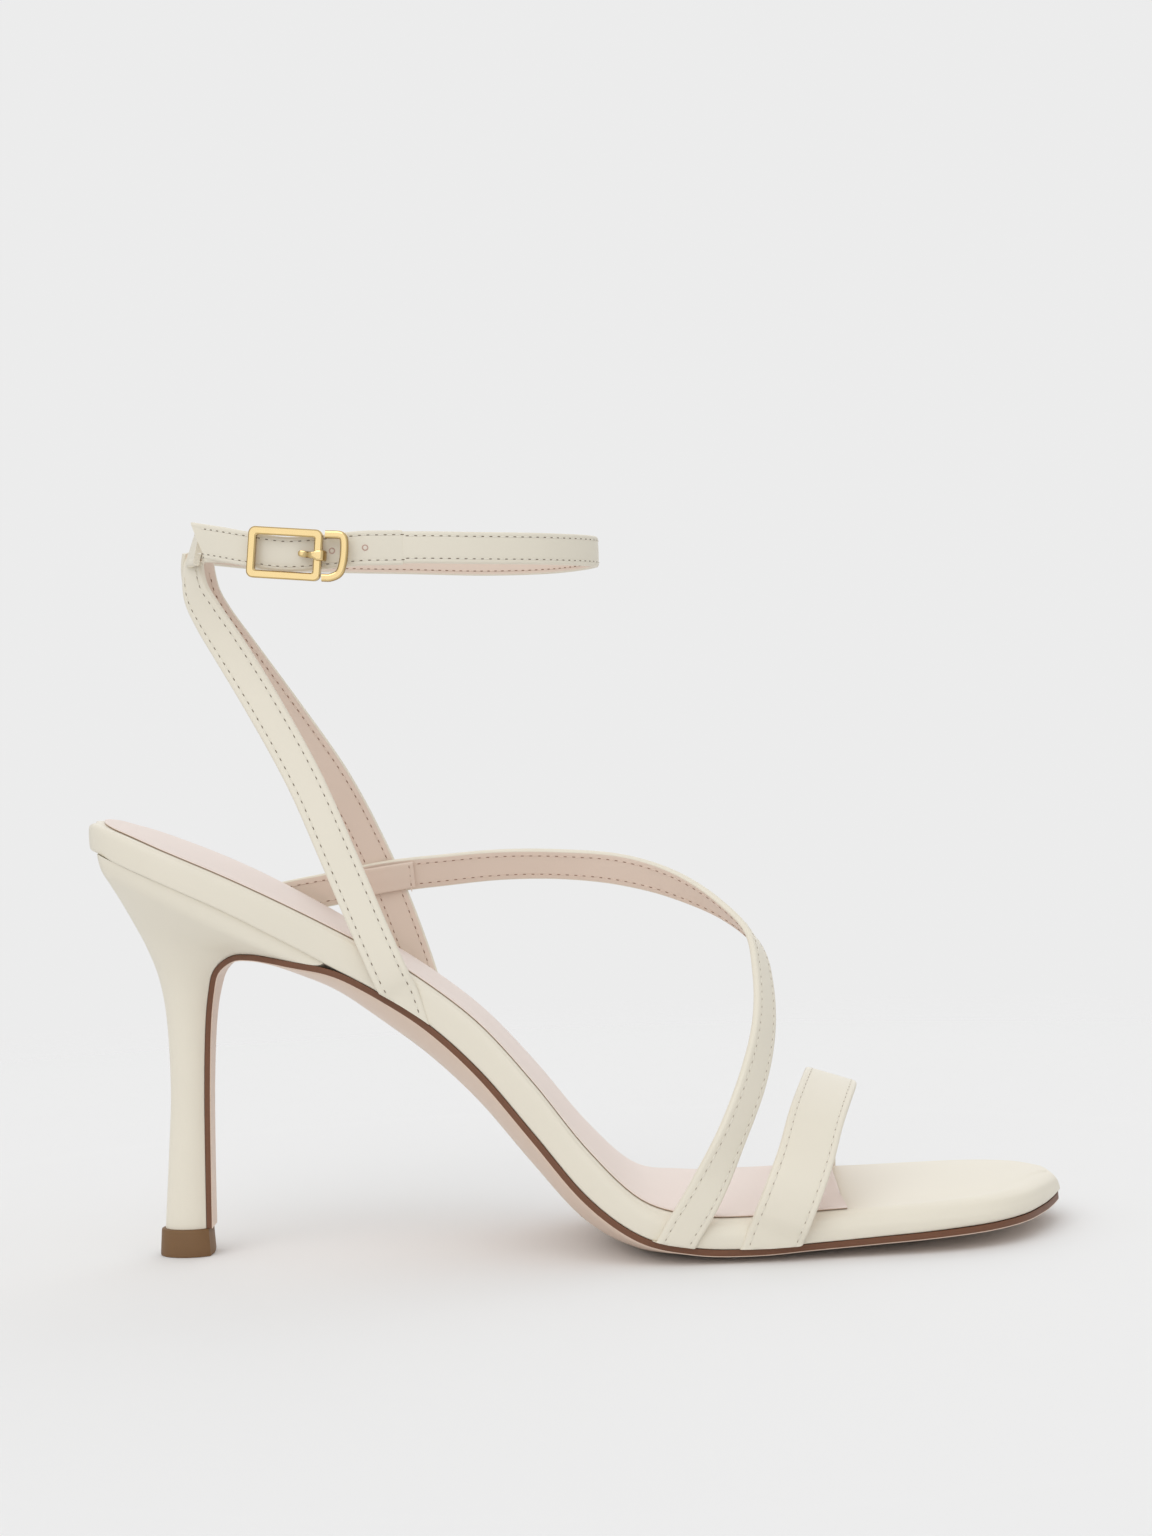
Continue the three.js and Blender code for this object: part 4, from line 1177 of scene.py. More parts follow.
class RowTree(NodeTree):
    """A node tree that lays copies of a small part on points, turned to the surface and the row."""

    def __init__(self, name: str, sizes: dict[str, float]) -> None:
        """Makes the tree's sockets.

        Args:
            name: the tree's name.
            sizes: its named lengths, in metres.
        """
        super().__init__(bpy.data.node_groups.new(name, "GeometryNodeTree"))
        face = self.tree.interface
        face.new_socket("Rails", in_out="INPUT", socket_type="NodeSocketGeometry")
        for key, value in sizes.items():
            socket = face.new_socket(key, in_out="INPUT", socket_type="NodeSocketFloat")
            socket.default_value = value
        for key in ("Main Material", "Mark Material"):
            face.new_socket(key, in_out="INPUT", socket_type="NodeSocketMaterial")
        face.new_socket("Rows", in_out="OUTPUT", socket_type="NodeSocketGeometry")
        self.start, self.end = self.add("NodeGroupInput"), self.add("NodeGroupOutput")

    def times(self, first: object, second: object) -> Socket:
        """The product of two numbers."""
        return self.chain("ShaderNodeMath", first, second, operation="MULTIPLY")

    def moved(self, shape: Socket, along: object, mark: float) -> Socket:
        """Shifts a shape along the row, and marks it as the main part or the mark."""
        shift = self.add("GeometryNodeTransform", Geometry=shape,
                         Translation=self.chain("ShaderNodeCombineXYZ", along))
        store = self.add("GeometryNodeStoreNamedAttribute",
                         {"data_type": "FLOAT", "domain": "POINT"},
                         Geometry=shift.outputs[0], Name="mark")
        next(item for item in store.inputs
             if item.name == "Value" and item.enabled).default_value = mark
        return store.outputs[0]

    def blob(self, length: object, width: object, height: object) -> Socket:
        """A rounded blob with a length, a width and a height."""
        ball = self.add("GeometryNodeMeshUVSphere", Segments=8, Rings=4, Radius=0.5)
        size = self.chain("ShaderNodeCombineXYZ", length, width, height)
        return self.add("GeometryNodeTransform", Geometry=ball.outputs[0], Scale=size).outputs[0]

    def lay(self, points: Socket, run: Socket,
            parts: Sequence[Socket]) -> None:
        """Lays the parts on the points, makes them real and gives them their materials."""
        joined = self.add("GeometryNodeJoinGeometry")
        for piece in parts:
            self.tree.links.new(piece, joined.inputs[0])
        along = self.add("FunctionNodeAlignRotationToVector", {"axis": "X"}, Vector=run)
        outward = self.add("GeometryNodeInputNamedAttribute", {"data_type": "FLOAT_VECTOR"},
                           Name="out")
        turned = self.add("FunctionNodeAlignRotationToVector", {"axis": "Z", "pivot_axis": "X"},
                          Rotation=along.outputs[0], Vector=outward.outputs[0])
        copies = self.add("GeometryNodeInstanceOnPoints", Points=points, Instance=joined.outputs[0],
                          Rotation=turned.outputs[0])
        real = self.chain("GeometryNodeRealizeInstances", copies.outputs[0])
        main = self.add("GeometryNodeSetMaterial",
                        Geometry=self.chain("GeometryNodeSetShadeSmooth", real),
                        Material=self.start.outputs["Main Material"])
        mark = self.add("GeometryNodeInputNamedAttribute", {"data_type": "FLOAT"}, Name="mark")
        chosen = self.add("FunctionNodeCompare",
                          {"data_type": "FLOAT", "operation": "GREATER_THAN"},
                          A=mark.outputs[0], B=0.5)
        marked = self.add("GeometryNodeSetMaterial", Geometry=main.outputs[0],
                          Selection=chosen.outputs[0], Material=self.start.outputs["Mark Material"])
        self.tree.links.new(marked.outputs[0], self.end.inputs[0])

    def socket(self, name: str) -> str:
        """The identifier of a named input."""
        return next(item.identifier for item in self.tree.interface.items_tree
                    if item.item_type == "SOCKET" and item.in_out == "INPUT" and item.name == name)


class StitchTree(RowTree):
    """Rows of stitches: a dash of thread between two needle holes, each hole a dark blob of painted
    shade.
    """

    def __init__(self) -> None:
        """Makes the tree."""
        super().__init__("stitch_rows", {"Pitch": 2.2 * MM, "Hole": 0.7 * MM, "Thread": 0.3 * MM})
        sizes = self.start.outputs
        pitch, thread = sizes["Pitch"], sizes["Thread"]
        curve = self.add("GeometryNodeMeshToCurve", Mesh=sizes["Rails"])
        even = self.add("GeometryNodeResampleCurve", {"mode": "LENGTH"}, Curve=curve.outputs[0],
                        Length=pitch)
        dash = self.blob(self.times(pitch, 0.8), thread, self.times(thread, 0.8))
        # The hole is a small dark blob, painted shade in the needle hole.
        hole = self.blob(sizes["Hole"], self.times(thread, 0.8), self.times(thread, 0.5))
        parts = [self.moved(dash, self.times(pitch, 0.5), 0.0), self.moved(hole, 0.0, 1.0)]
        self.lay(even.outputs[0], self.chain("GeometryNodeInputTangent"), parts)


class HoleTree(RowTree):
    """Punched holes: a raised rim round a pale floor."""

    def __init__(self) -> None:
        """Makes the tree."""
        super().__init__("punched_holes", {"Radius": 0.58 * MM, "Rim": 0.13 * MM})
        sizes = self.start.outputs
        ring, bar = (self.add("GeometryNodeCurvePrimitiveCircle", {"mode": "RADIUS"},
                              Resolution=steps, Radius=sizes[key]).outputs[0]
                     for steps, key in ((24, "Radius"), (8, "Rim")))
        rim = self.add("GeometryNodeCurveToMesh", Curve=ring, Profile_Curve=bar)
        wide = self.times(sizes["Radius"], 2.0)
        floor = self.blob(wide, wide, sizes["Rim"])
        points = self.add("GeometryNodeMeshToPoints", Mesh=sizes["Rails"])
        run = self.add("GeometryNodeInputNamedAttribute", {"data_type": "FLOAT_VECTOR"}, Name="run")
        self.lay(points.outputs[0], run.outputs[0],
                 [self.moved(rim.outputs[0], 0.0, 0.0), self.moved(floor, 0.0, 1.0)])


def plain_copy(source: bpy.types.Object, name: str) -> bpy.types.Object:
    """Turns an object with a node tree into a plain mesh object.

    Args:
        source: the object, which is removed.
        name: the new object's name.

    Returns:
        The new object.
    """
    graph = bpy.context.evaluated_depsgraph_get()
    mesh = bpy.data.meshes.new_from_object(source.evaluated_get(graph))
    bpy.data.objects.remove(source)
    mesh.name = name
    piece = bpy.data.objects.new(name, mesh)
    bpy.context.scene.collection.objects.link(piece)
    return piece


@dataclass
class Sewing:
    """Sews stitch rows on straps and punches holes in them."""

    palette: Palette
    stitches: StitchTree
    holes: HoleTree
    step: float = 0.6
    above_floor: float = 1.1
    lining_closer: float = 0.15
    lining_hole: float = 0.95

    def run(self, tree: RowTree, name: str, rails: Sequence[tuple[Array, Array, Array]],
            finishes: tuple[Finish, Finish], slot: str, **sizes: float) -> None:
        """Makes a piece from rails with a tree.

        Args:
            tree: the tree.
            name: the piece's name.
            rails: for each rail its points in millimetres, outward ways and running ways.
            finishes: the finish of the main parts and of the marks.
            slot: the record's material slot.
            sizes: sizes of the tree that differ here, in metres.
        """
        points, edges, outs, runs = [], [], [], []
        for rail, out, way in rails:
            base = len(points)
            points += (rail * MM).tolist()
            edges += [(base + i, base + i + 1) for i in range(len(rail) - 1)]
            outs += out.ravel().tolist()
            runs += way.ravel().tolist()
        mesh = bpy.data.meshes.new(name + "_rail")
        mesh.from_pydata(points, edges, [])
        mesh.attributes.new("out", "FLOAT_VECTOR", "POINT").data.foreach_set("vector", outs)
        mesh.attributes.new("run", "FLOAT_VECTOR", "POINT").data.foreach_set("vector", runs)
        rail_object = bpy.data.objects.new(name + "_rail", mesh)
        bpy.context.scene.collection.objects.link(rail_object)
        modifier = rail_object.modifiers.new("rows", "NODES")
        modifier.node_group = tree.tree
        modifier[tree.socket("Main Material")] = self.palette.get(finishes[0])
        modifier[tree.socket("Mark Material")] = self.palette.get(finishes[1])
        for key, value in sizes.items():
            modifier[tree.socket(key)] = value
        dress(plain_copy(rail_object, name), slot)

    def sew(self, strap: Strap, slot: str) -> None:
        """Sews a strap's rows, as one piece for each side of the leather.

        Args:
            strap: the strap.
            slot: the record's material slot.
        """
        for outside in (True, False):
            turn, rails = (1 if outside else -1), []
            for row in strap.rows:
                if row.outside != outside:
                    continue
                for side in row.sides:
                    at, lift = np.arange(row.start, row.end, self.step), strap.thickness / 2 * turn
                    rail = strap.path.point(at, side * (strap.width / 2 - strap.inset), lift)
                    out = strap.path.facing_at(at) * turn
                    if strap.floor is not None:
                        keep = rail[:, 2] > strap.floor(rail[:, 0]) + self.above_floor
                        rail, out = rail[keep], out[keep]
                    rails.append((rail, out, np.gradient(rail, axis=0)))
            if not rails:
                continue
            if outside:
                self.run(self.stitches, strap.name + "_stitches", rails,
                         (Finish.THREAD, strap.mark), slot, Pitch=strap.pitch * MM,
                         Hole=strap.pitch * strap.hole * MM)
            else:
                self.run(self.stitches, strap.name + "_lining_stitches", rails,
                         (Finish.LINING_THREAD, Finish.LINING_HOLE), slot,
                         Pitch=(strap.pitch - self.lining_closer) * MM,
                         Hole=self.lining_hole * MM)


@dataclass
class StrapForm:
    """Where the straps run, as places on and above the sole."""

    form: SoleForm
    thickness: float = 1.5
    ankle_length: float = 91.8
    ankle_half_width: float = 23
    ankle_rise: float = 60
    ankle_back_along: float = 0.1223
    join_overlap: float = 0.3
    back_loop_half: float = 10
    back_loop_bow: float = 2.8
    back_loop_drop: float = 1.0
    back_loop_lean: float = 0.32
    toe_rows: tuple[Row, ...] = (
        (0.695, -1.04, 0.01, 0, -1, 0.1),
        (0.708, -1.03, 0.12, 0.05, -1, 0.3),
        (0.72, -0.925, 0.21, 0.15, -1, 0.7),
        (0.735, -0.67, 0.325, 0.25, -0.6, 0.9),
        (0.749, -0.36, 0.39, 0.3, -0.25, 0.95),
        (0.761, 0, 0.418, 0.32, 0, 0.95),
        (0.765, 0.36, 0.387, 0.3, 0.25, 0.95),
        (0.764, 0.67, 0.316, 0.25, 0.6, 0.9),
        (0.758, 0.92, 0.195, 0.15, 1, 0.7),
        (0.752, 1.02, 0.062, 0.05, 1, 0.2),
    )
    diagonal_rows: tuple[Row, ...] = (
        (0.616, -1.045, 0.08, 0.15, -1, 0),
        (0.646, -1, 0.295, 0.6, -0.8, -0.07),
        (0.672, -0.85, 0.503, 0.73, -0.67, 0.13),
        (0.687, -0.6, 0.672, 0.8, -0.57, 0.18),
        (0.691, -0.32, 0.838, 0.85, -0.33, 0.4),
        (0.685, -0.07, 0.977, 0.8, 0.02, 0.6),
        (0.655, 0.14, 1.09, 0.64, 0.34, 0.68),
        (0.605, 0.314, 1.178, 0.46, 0.7, 0.52),
        (0.552, 0.43, 1.163, 0.3, 0.9, 0.45),
        (0.489, 0.522, 0.942, 0.2, 0.9, 0.55),
        (0.423, 0.57, 0.639, 0.1, 0.9, 0.5),
        (0.359, 0.589, 0.41, 0, 1, 0.45),
        (0.3, 0.583, 0.246, 0, 1, 0.35),
        (0.242, 0.647, 0.085, -0.05, 1, 0.2),
        (0.202, 0.683, -0.02, -0.05, 1, 0.1),
    )
    outer_leg_rows: tuple[Row, ...] = (
        (0.317, -0.74, -0.062, 0, -1, 0.1),
        (0.3, -0.722, 0.049, 0, -1, 0.15),
        (0.267, -0.625, 0.278, 0, -1, 0.2),
        (0.232, -0.486, 0.508, 0, -1, 0.2),
        (0.187, -0.333, 0.729, -0.1, -1, 0.2),
        (0.1552, -0.238, 0.868, -0.28, -1, 0.1),
        (0.1345, -0.169, 0.955, -0.5, -0.88, 0.05),
        (0.121, -0.125, 1.03, -0.68, -0.75, 0),
        (0.118, -0.085, 1.12, -0.8, -0.6, 0),
        (0.12, -0.06, 1.19, -0.85, -0.55, 0),
    )
    inner_leg_rows: tuple[Row, ...] = (
        (0.327, 0.62, -0.029, 0, 1, 0.1),
        (0.305, 0.619, 0.164, 0, 1, 0.15),
        (0.279, 0.57, 0.351, 0, 1, 0.2),
        (0.2475, 0.458, 0.533, 0, 1, 0.2),
        (0.2035, 0.361, 0.704, -0.05, 1, 0.2),
        (0.159, 0.25, 0.869, -0.1, 1, 0.1),
        (0.132, 0.181, 0.975, -0.15, 1, 0.05),
        (0.1225, 0.135, 1.035, -0.25, 1, 0),
        (0.119, 0.085, 1.12, -0.5, 0.9, 0),
        (0.12, 0.06, 1.19, -0.7, 0.75, 0),
    )
    ankle_rows: tuple[Row, ...] = (
        (0, 0, 1.045),
        (0.034, -0.425, 1.038),
        (0.164, -0.835, 1.01),
        (0.268, -0.957, 0.982),
        (0.388, -1, 0.988),
        (0.53, -1, 0.992),
        (0.715, -0.935, 0.982),
        (0.89, -0.63, 0.978),
        (1, 0, 0.98),
        (0.89, 0.61, 0.978),
        (0.715, 0.87, 0.986),
        (0.53, 0.97, 1.004),
        (0.333, 0.935, 1.019),
        (0.159, 0.76, 1.032),
        (0.034, 0.405, 1.048),
    )
    tail_rows: tuple[Row, ...] = (
        (0.437, -1, 0.993),
        (0.366, -1, 0.986),
        (0.252, -0.99, 0.98),
        (0.158, -0.9, 1.008),
        (0.09, -0.74, 1.035),
        (0.034, -0.57, 1.056),
    )

    def wall(self, along: float, side: int, level: float) -> tuple[Array, Array]:
        """A place flat against the platform's wall, at a share of the wall's height."""
        form = self.form
        tuck = form.wall_tuck * min(max(0.6 - level, 0), 1)
        middle, half = form.outline(along, self.thickness / 2 + form.clearance / 2 - tuck)
        z = form.rim(along) + level * form.wall(along) * form.wall_height
        return np.array((form.x_at(along), middle + side * half, z)), np.array((0.0, side, 0.0))

    def free(self, row: Row) -> tuple[Array, Array]:
        """A place above the footbed."""
        along, side, up, *out = row
        centre = (self.form.x_at(along), side * self.form.ball_half_width,
                  self.form.footbed(along) + up * self.ankle_rise)
        return np.array(centre, float), unit(np.array(out, float))

    def path(self, places: Sequence[tuple[Array, Array]], closed: bool = False) -> StrapPath:
        """A strap path through places."""
        return StrapPath(np.array([p for p, _ in places]), np.array([o for _, o in places]), closed)

    def loop_point(self, row: Row) -> Array:
        """A point of the ankle strap's loop."""
        back = self.form.x_at(self.ankle_back_along)
        return np.array((back + row[0] * self.ankle_length, row[1] * self.ankle_half_width,
                         self.form.footbed(0.0) + row[2] * self.ankle_rise))

    def ankle(self) -> StrapPath:
        """The ankle strap's closed loop."""
        points = [self.loop_point(row) for row in self.ankle_rows]
        places = []
        for i, point in enumerate(points):
            run = points[(i + 1) % len(points)] - points[i - 1]
            places.append((point, unit(np.array((run[1], -run[0], 0)))))
        return self.path(places, True)

    def tail_places(self) -> list[tuple[Array, Array]]:
        """The tail's places, over the loop's outside."""
        points = [self.loop_point(row) for row in self.tail_rows]
        lift = self.thickness - self.join_overlap
        places = []
        for i, point in enumerate(points):
            run = points[min(i + 1, len(points) - 1)] - points[max(i - 1, 0)]
            out = unit(np.array((-run[1], run[0], 0)))
            places.append((point + out * lift, out))
        return places

    def tail(self) -> StrapPath:
        """The tail's path, which rises out of the loop before the keeper."""
        laid = self.tail_places()
        front = []
        for row, lift in (((0.53, -1, 0.992), 0.05), ((0.485, -1, 0.992), 0.75)):
            front.append((self.loop_point(row) + laid[0][1] * lift, laid[0][1]))
        return self.path(front + laid)

    def back_loop(self) -> StrapPath:
        """The band behind the ankle."""
        back = self.form.x_at(self.ankle_back_along) - self.thickness + self.join_overlap
        z = self.form.footbed(0.0) + self.ankle_rows[0][2] * self.ankle_rise - self.back_loop_drop
        places = []
        for share in (-1, -0.5, 0, 0.5, 1):
            centre = np.array((back + share * share * self.back_loop_bow,
                               share * self.back_loop_half, z))
            places.append((centre, unit(np.array((-1, share * 0.8, self.back_loop_lean)))))
        return self.path(places)


@dataclass
class Upper:
    """Every strap of the shoe, with its stitches."""

    straps: StrapForm
    toe_width: float = 12.4
    ankle_width: float = 7.1
    tail_width: float = 7.7
    back_loop_width: float = 7.4
    tail_slant: float = 3.0
    holes_x: tuple[float, ...] = (48.1, 40.8, 34.4)
    inner_from: float = 150
    fold_span_x: tuple[float, float] = (52.5, 38)
    sunk: float = -0.45
    above_rim: float = 0.02
    fold_width: float = 6.7
    fold_thickness: float = 0.9
    fold_lift: float = 0.2
    # X, how far to the foot's side of the strap's middle, and how much it faces as the strap does
    fold_knots: tuple[Row, ...] = (
        (45.0, -0.1, 1.0), (42.3, -0.05, 0.75), (40.8, 0.45, -0.1), (41.3, 1.35, -0.85),
        (43.5, 1.85, -1.0), (47.0, 1.9, -1.0), (50.0, 1.6, -1.0), (53.0, 1.25, -1.0),
    )

    def build(self, palette: Palette) -> None:
        """Builds, dresses and sews the straps."""
        form, places = self.straps.form, self.straps
        floor = lambda x: form.rim(form.along(x)) + self.above_rim
        low = self.sunk
        toe = places.path([places.wall(0.677, -1, low), places.wall(0.688, -1, 0.5),
                           *map(places.free, places.toe_rows),
                           places.wall(0.75, 1, 0.5), places.wall(0.749, 1, low)])
        diagonal = places.path([places.wall(0.582, -1, low), places.wall(0.596, -1, 0.5),
                                *map(places.free, places.diagonal_rows),
                                places.wall(0.166, 1, 0.13), places.wall(0.13, 1, -0.55)])
        outer = places.path([places.wall(0.335, -1, low), places.wall(0.324, -1, 0.3),
                             *map(places.free, places.outer_leg_rows)])
        inner = places.path([places.wall(0.3435, 1, low), places.wall(0.3345, 1, 0.3),
                             *map(places.free, places.inner_leg_rows)])
        ankle, tail, band = places.ankle(), places.tail(), places.back_loop()
        emerge = ankle.nearest(tail.middle[0])
        fold_start, fold_stop = (diagonal.where_x(x, self.inner_from) for x in self.fold_span_x)
        both = lambda path, start, stop: (StitchRow(start, path.length - stop),
                                          StitchRow(start, path.length - stop, outside=False))
        soft = {"floor": floor, "corner": 0.7, "mark": Finish.SOFT_HOLE}
        leg = {"floor": floor, "hole": 0.42}
        slim = {"pitch": 1.85, "inset": 1.05, "hole": 0.5}
        made = [
            Strap("toe_strap_leather", toe, self.toe_width, pitch=2.4, hole=0.26,
                  rows=both(toe, 2, 2), **soft),
            Strap("instep_strap_leather", diagonal, hole=0.28, **soft,
                  rows=(StitchRow(2, diagonal.length - 6),
                        StitchRow(2, fold_start, False),
                        StitchRow(fold_stop, diagonal.length - 6, False))),
            Strap("outer_leg_leather", outer, rows=both(outer, 2, 7), **leg),
            Strap("inner_leg_leather", inner, rows=both(inner, 2, 7), **leg),
            Strap("ankle_strap_leather", ankle, self.ankle_width, **slim,
                  rows=(StitchRow(5, 22), StitchRow(emerge + 1, ankle.length - 12),
                        StitchRow(0, ankle.length, outside=False))),
            Strap("ankle_tail_leather", tail, self.tail_width, slant=self.tail_slant, **slim,
                  rows=(StitchRow(0, tail.length - 2),)),
            Strap("back_band_leather", band, self.back_loop_width),
        ]
        sewing = Sewing(palette, StitchTree(), HoleTree())
        for strap in made:
            piece = strap.build(palette)
            node = "toe_strap" if strap.name.startswith("toe") else "upper_straps"
            dress(piece, "strap_leather", node)
            sewing.sew(strap, "strap_leather")
        self._fold_over(palette, sewing, diagonal)
        self._holes(sewing, tail)

    def _fold_over(self, palette: Palette, sewing: Sewing, diagonal: StrapPath) -> None:
        """The end of the instep strap, folded round the inner leg and sewn down."""
        places = []
        for x, toward, turn in self.fold_knots:
            at = diagonal.where_x(x, self.inner_from)
            facing = diagonal.facing_at(np.array([at]))[0]
            before, after = diagonal.point(np.array([at - 1, at + 1]), 0, 0)
            spot = diagonal.point(np.array([at]), 0, -toward)[0] + np.array((0, 0, self.fold_lift))
            along = unit(after - before) * math.sqrt(1 - turn * turn)
            places.append((spot, unit(facing * turn + along)))
        centre, out = (np.array(part) for part in zip(*places))
        fold = Strap("instep_strap_fold", StrapPath(centre, out, step=0.5), self.fold_width,
                     self.fold_thickness, 0.3, outside=Finish.LINING)
        dress(fold.build(palette), "strap_leather")
        at = fold.path.length - 1.0
        rail = np.vstack([fold.path.point(np.array([at]), across, self.fold_thickness / 2)
                          for across in np.linspace(-2.3, 2.3, 12)])
        out = np.tile(fold.path.facing_at(np.array([at])), (len(rail), 1))
        sewing.run(sewing.stitches, "instep_strap_fold_stitches",
                   [(rail, out, np.gradient(rail, axis=0))],
                   (Finish.LINING_THREAD, Finish.LINING_HOLE), "strap_leather", Hole=0.9 * MM)

    def _holes(self, sewing: Sewing, tail: StrapPath) -> None:
        """The tail's three punched holes."""
        at = np.array([tail.where_x(x) for x in self.holes_x])
        spots = tail.point(at, 0, self.straps.thickness / 2 + 0.06)
        out = tail.facing_at(at)
        run = tail.point(at + 0.5, 0, 0) - tail.point(at - 0.5, 0, 0)
        sewing.run(sewing.holes, "tail_punched_holes", [(spots, out, run)],
                   (Finish.HOLE_RIM, Finish.HOLE_INSIDE), "strap_leather")


# Buckle


@dataclass
class Buckle:
    """The gold frame, its prong and the keeper ring, on the outside of the tail."""

    straps: StrapForm
    length: float = 16.8
    height: float = 11.4
    bar: float = 1.75
    depth: float = 1.7
    corner: float = 1.5
    tilt: float = math.radians(2)
    prong_width: float = 1.6
    prong_length: float = 3.6
    prong_dip: float = 0.35
    keeper_length: float = 5.4
    keeper_bar: float = 1.8
    row: int = 2

    def axes(self) -> Matrix:
        """The buckle's own axes: X along the strap, Y up, Z out of the shoe."""
        tail = self.straps.tail_places()
        run = unit(tail[self.row - 1][0] - tail[self.row + 1][0])
        out = unit(np.array((run[1], -run[0], 0)))
        up = np.cross(out, run)
        start = tail[self.row][0] + out * (self.straps.thickness / 2 + self.straps.form.clearance)
        turn = Matrix((run, up, out)).transposed().to_4x4()
        return Matrix.Translation(Vector(start)) @ turn @ Matrix.Rotation(-self.tilt, 4, "Z")

    def outline(self, length: float, height: float, corner: float, steps: int = 8) -> Array:
        """A rectangle with round corners, counter-clockwise."""
        points = []
        for cx, cy, start in ((1, -1, -90), (1, 1, 0), (-1, 1, 90), (-1, -1, 180)):
            for k in range(steps + 1):
                angle = math.radians(start + 90 * k / steps)
                points.append((cx * (length / 2 - corner) + corner * math.cos(angle),
                               cy * (height / 2 - corner) + corner * math.sin(angle)))
        return np.array(points)

    def build(self, palette: Palette) -> None:
        """Builds and dresses the three pieces."""
        place = self.axes()
        for name, surface, node in (
            ("buckle_gilt_frame", self._frame(), "buckle_frame"),
            ("buckle_gilt_prong", self._prong(), "buckle_prong"),
            ("keeper_gilt_ring", self._keeper(), "keeper_ring"),
        ):
            surface.points = [tuple(place @ Vector(p)) for p in surface.points]
            piece = surface.to_object(name, [palette.get(Finish.GOLD)], 32)
            dress(piece, "gilt_metal", node)

    def _frame(self) -> Surface:
        """The frame, with a bevelled section all round."""
        bevel = 0.28
        section = [(0, bevel), (0, self.depth - bevel), (bevel, self.depth),
                   (self.bar - bevel, self.depth),
                   (self.bar, self.depth - bevel), (self.bar, bevel), (self.bar - bevel, 0),
                   (bevel, 0)]
        rings = []
        for inset, z in section:
            corner = max(self.corner - inset * 0.7, 0.5)
            loop = self.outline(self.length - 2 * inset, self.height - 2 * inset, corner)
            rings.append(np.column_stack((loop, np.full(len(loop), z))))
        surface = Surface()
        surface.add_rings(np.stack(rings), closed=True)
        return surface

    def _bar(self, path: Array, width: Array, depth: Array, side: Array) -> Surface:
        """A soft-edged bar along a path."""
        run = unit(np.gradient(path, axis=0))
        across = unit(side - run * np.sum(side * run, axis=1, keepdims=True))
        out = np.cross(across, run)
        angles = np.radians(np.arange(0, 360, 22.5) + 11.25)
        wide = np.sign(np.cos(angles)) * np.abs(np.cos(angles)) ** 0.55
        tall = np.sign(np.sin(angles)) * np.abs(np.sin(angles)) ** 0.55
        rings = (path[:, None] + across[:, None] * (wide[None, :] * width[:, None] / 2)[..., None]
                 + out[:, None] * (tall[None, :] * depth[:, None] / 2)[..., None])
        surface = Surface()
        surface.add_rings(rings)
        return surface

    def _prong(self) -> Surface:
        """A knuckle over the front bar and a finger that dips to the strap."""
        right = self.length / 2
        left = right - self.bar
        top = self.depth + 0.55
        knots = np.array([
            (right + 0.55, 0, 0.2), (right + 0.55, 0, self.depth * 0.6),
            (right + 0.2, 0, top - 0.1), (right - self.bar / 2, 0, top), (left - 0.3, 0, top - 0.1),
            (left - self.prong_length * 0.5, 0.1, 1.15),
            (left - self.prong_length, self.prong_dip, 0.75),
        ], float)
        path = centripetal(knots, False, 8)
        share = np.linspace(0, 1, len(path))
        taper = np.interp(share, (0, 0.5, 0.62, 0.93, 0.975, 1), (1.5, 1.5, 0.9, 0.95, 0.85, 0.4))
        side = np.tile((0.0, 1.0, 0.0), (len(path), 1))
        return self._bar(path, self.prong_width * taper, 0.75 * taper**0.5, side)

    def _keeper(self) -> Surface:
        """An open ring: an upright bar with an arm above and below."""
        left = self.length / 2 + 0.35
        right = left + self.keeper_length
        high = self.height / 2
        inset = self.keeper_bar / 2
        knots = np.array([
            (left + 0.2, high - inset, self.depth / 2), (right - 1.8, high - inset, self.depth / 2),
            (right - inset - 0.35, high - inset - 0.35, self.depth / 2),
            (right - inset, high - 2.2, self.depth / 2),
            (right - inset, -high + 4.4, self.depth / 2),
            (right - inset - 0.7, -high + 2.1, self.depth / 2),
            (right - 3.4, -high + inset + 0.15, self.depth / 2),
            (left, -high + inset, self.depth / 2),
        ], float)
        path = centripetal(knots, False, 10)
        side = np.tile((0.0, 0.0, 1.0), (len(path), 1))
        wide = np.full(len(path), self.depth)
        return self._bar(path, wide, np.full(len(path), self.keeper_bar), side)


# Studio


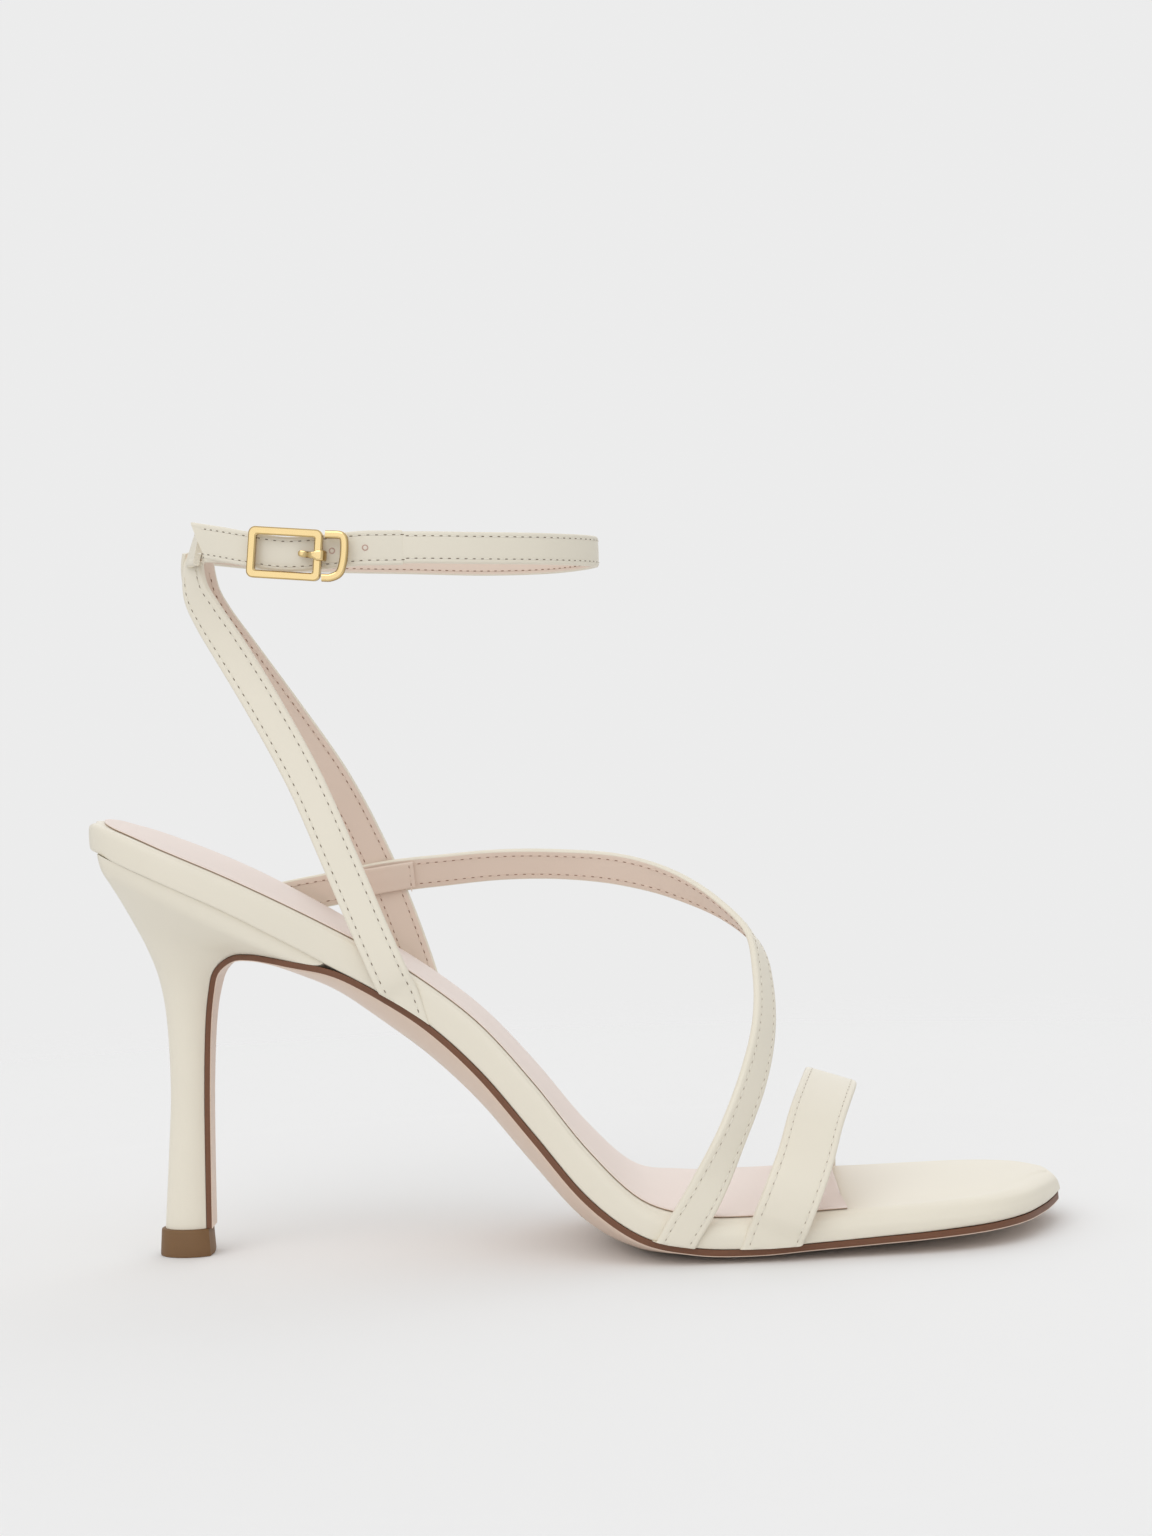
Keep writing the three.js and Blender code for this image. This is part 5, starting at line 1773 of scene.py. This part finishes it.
@dataclass
class Studio:
    """A plain pale floor under soft light, and the camera."""

    floor_half: float = 20.0
    floor_colour: Colour = (0.855, 0.855, 0.855)
    floor_clear: float = 0.22
    floor_fade: float = 0.35
    backdrop: float = 0.84
    distance: float = 600.0
    centre_x: float = 92.407
    eye_height: float = 112.326
    focal_px: float = 2590.0
    frame_height_px: float = 1536.0
    pitch: float = math.atan(13 / 2590)
    roll: float = math.radians(2)
    sky_strength: float = 0.76
    # Height and tone of the sky's stops, from the horizon up
    sky: tuple[Row, ...] = ((0.0, 0.85), (0.35, 0.9), (1.0, 1.1))
    lamps: tuple[tuple[str, float, float, Row], ...] = (
        ("key", 0.6, 50, (-0.35, -0.7, 0.9)), ("fill", 0.3, 60, (-0.3, -1.0, 0.2)),
        ("back", 0.42, 60, (0.2, 1.0, 0.6)),
    )

    def build(self) -> None:
        """Makes the floor, the light and the camera."""
        self._floor()
        self._light()
        self._camera()

    def _floor(self) -> None:
        """A wide plain floor."""
        mesh = bpy.data.meshes.new("studio_floor")
        s = self.floor_half
        mesh.from_pydata([(-s, -s, 0), (s, -s, 0), (s, s, 0), (-s, s, 0)], [], [(0, 1, 2, 3)])
        recipe = Recipe("floor_paper")
        cloud = recipe.noise(900, 2)
        recipe.set(Base_Color=recipe.mix(cloud, tint(self.floor_colour, 0.997), self.floor_colour),
                   Roughness=0.9, Specular_IOR_Level=0.1)
        recipe.fade_out(self.centre_x * MM, self.floor_clear, self.floor_fade)
        mesh.materials.append(recipe.material)
        floor = bpy.data.objects.new("studio_floor", mesh)
        bpy.context.scene.collection.objects.link(floor)

    def _light(self) -> None:
        """A bright sky all round, seen as the floor's own tone, and wide soft lamps."""
        world = bpy.data.worlds.new("studio_air")
        bpy.context.scene.world = world
        world.use_nodes = True
        air = NodeTree(world.node_tree)
        air.tree.nodes.clear()
        way = air.add("ShaderNodeTexCoord").outputs["Generated"]
        ramp = air.add("ShaderNodeValToRGB")
        air.feed(ramp.inputs[0], air.add("ShaderNodeSeparateXYZ", Vector=way).outputs["Z"])
        stops = ramp.color_ramp.elements
        stops.new(self.sky[1][0])
        for stop, (place, tone) in zip(stops, self.sky):
            stop.position, stop.color = place, (tone, tone, tone, 1)
        soft = air.chain("ShaderNodeBackground", ramp.outputs[0], self.sky_strength)
        seen = air.chain("ShaderNodeBackground", (self.backdrop, self.backdrop, self.backdrop, 1))
        path = air.add("ShaderNodeLightPath").outputs["Is Camera Ray"]
        air.add("ShaderNodeOutputWorld", Surface=air.chain("ShaderNodeMixShader", path, soft, seen))
        for name, energy, spread, way in self.lamps:
            lamp = bpy.data.lights.new(name, "SUN")
            lamp.energy = energy
            lamp.angle = math.radians(spread)
            item = bpy.data.objects.new(name, lamp)
            item.rotation_mode = "QUATERNION"
            item.rotation_quaternion = Vector(way).to_track_quat("Z", "Y")
            bpy.context.scene.collection.objects.link(item)
        bpy.context.scene.view_settings.view_transform = "Standard"

    def _camera(self) -> None:
        """The camera at the photograph's angle, rolled as it was held."""
        data = bpy.data.cameras.new("camera")
        data.sensor_width = 36
        data.lens = self.focal_px / self.frame_height_px * 36
        data.clip_start, data.clip_end = 0.05, 100
        camera = bpy.data.objects.new("camera", data)
        forward = Vector((0, math.cos(self.pitch), -math.sin(self.pitch)))
        up = Vector((0, math.sin(self.pitch), math.cos(self.pitch)))
        right = Vector((1, 0, 0))
        tilted_right = right * math.cos(self.roll) - up * math.sin(self.roll)
        tilted_up = up * math.cos(self.roll) + right * math.sin(self.roll)
        turn = Matrix((tilted_right, tilted_up, -forward)).transposed().to_4x4()
        spot = Vector((self.centre_x, -self.distance, self.eye_height)) * MM
        camera.matrix_world = Matrix.Translation(spot) @ turn
        bpy.context.scene.collection.objects.link(camera)
        bpy.context.scene.camera = camera


def main() -> None:
    """Builds the studio and every piece of the shoe, in order."""
    logging.basicConfig(level=logging.INFO, format="%(message)s")
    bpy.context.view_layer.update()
    Studio().build()
    palette = Palette()
    form = SoleForm()
    heel = HeelForm(form)
    straps = StrapForm(form)
    Platform(form).build(palette)
    Sock(form).build(palette)
    Outsole(form, heel).build(palette)
    Heel(heel).build(palette)
    Upper(straps).build(palette)
    Buckle(straps).build(palette)
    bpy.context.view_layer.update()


if __name__ == "__main__":
    main()
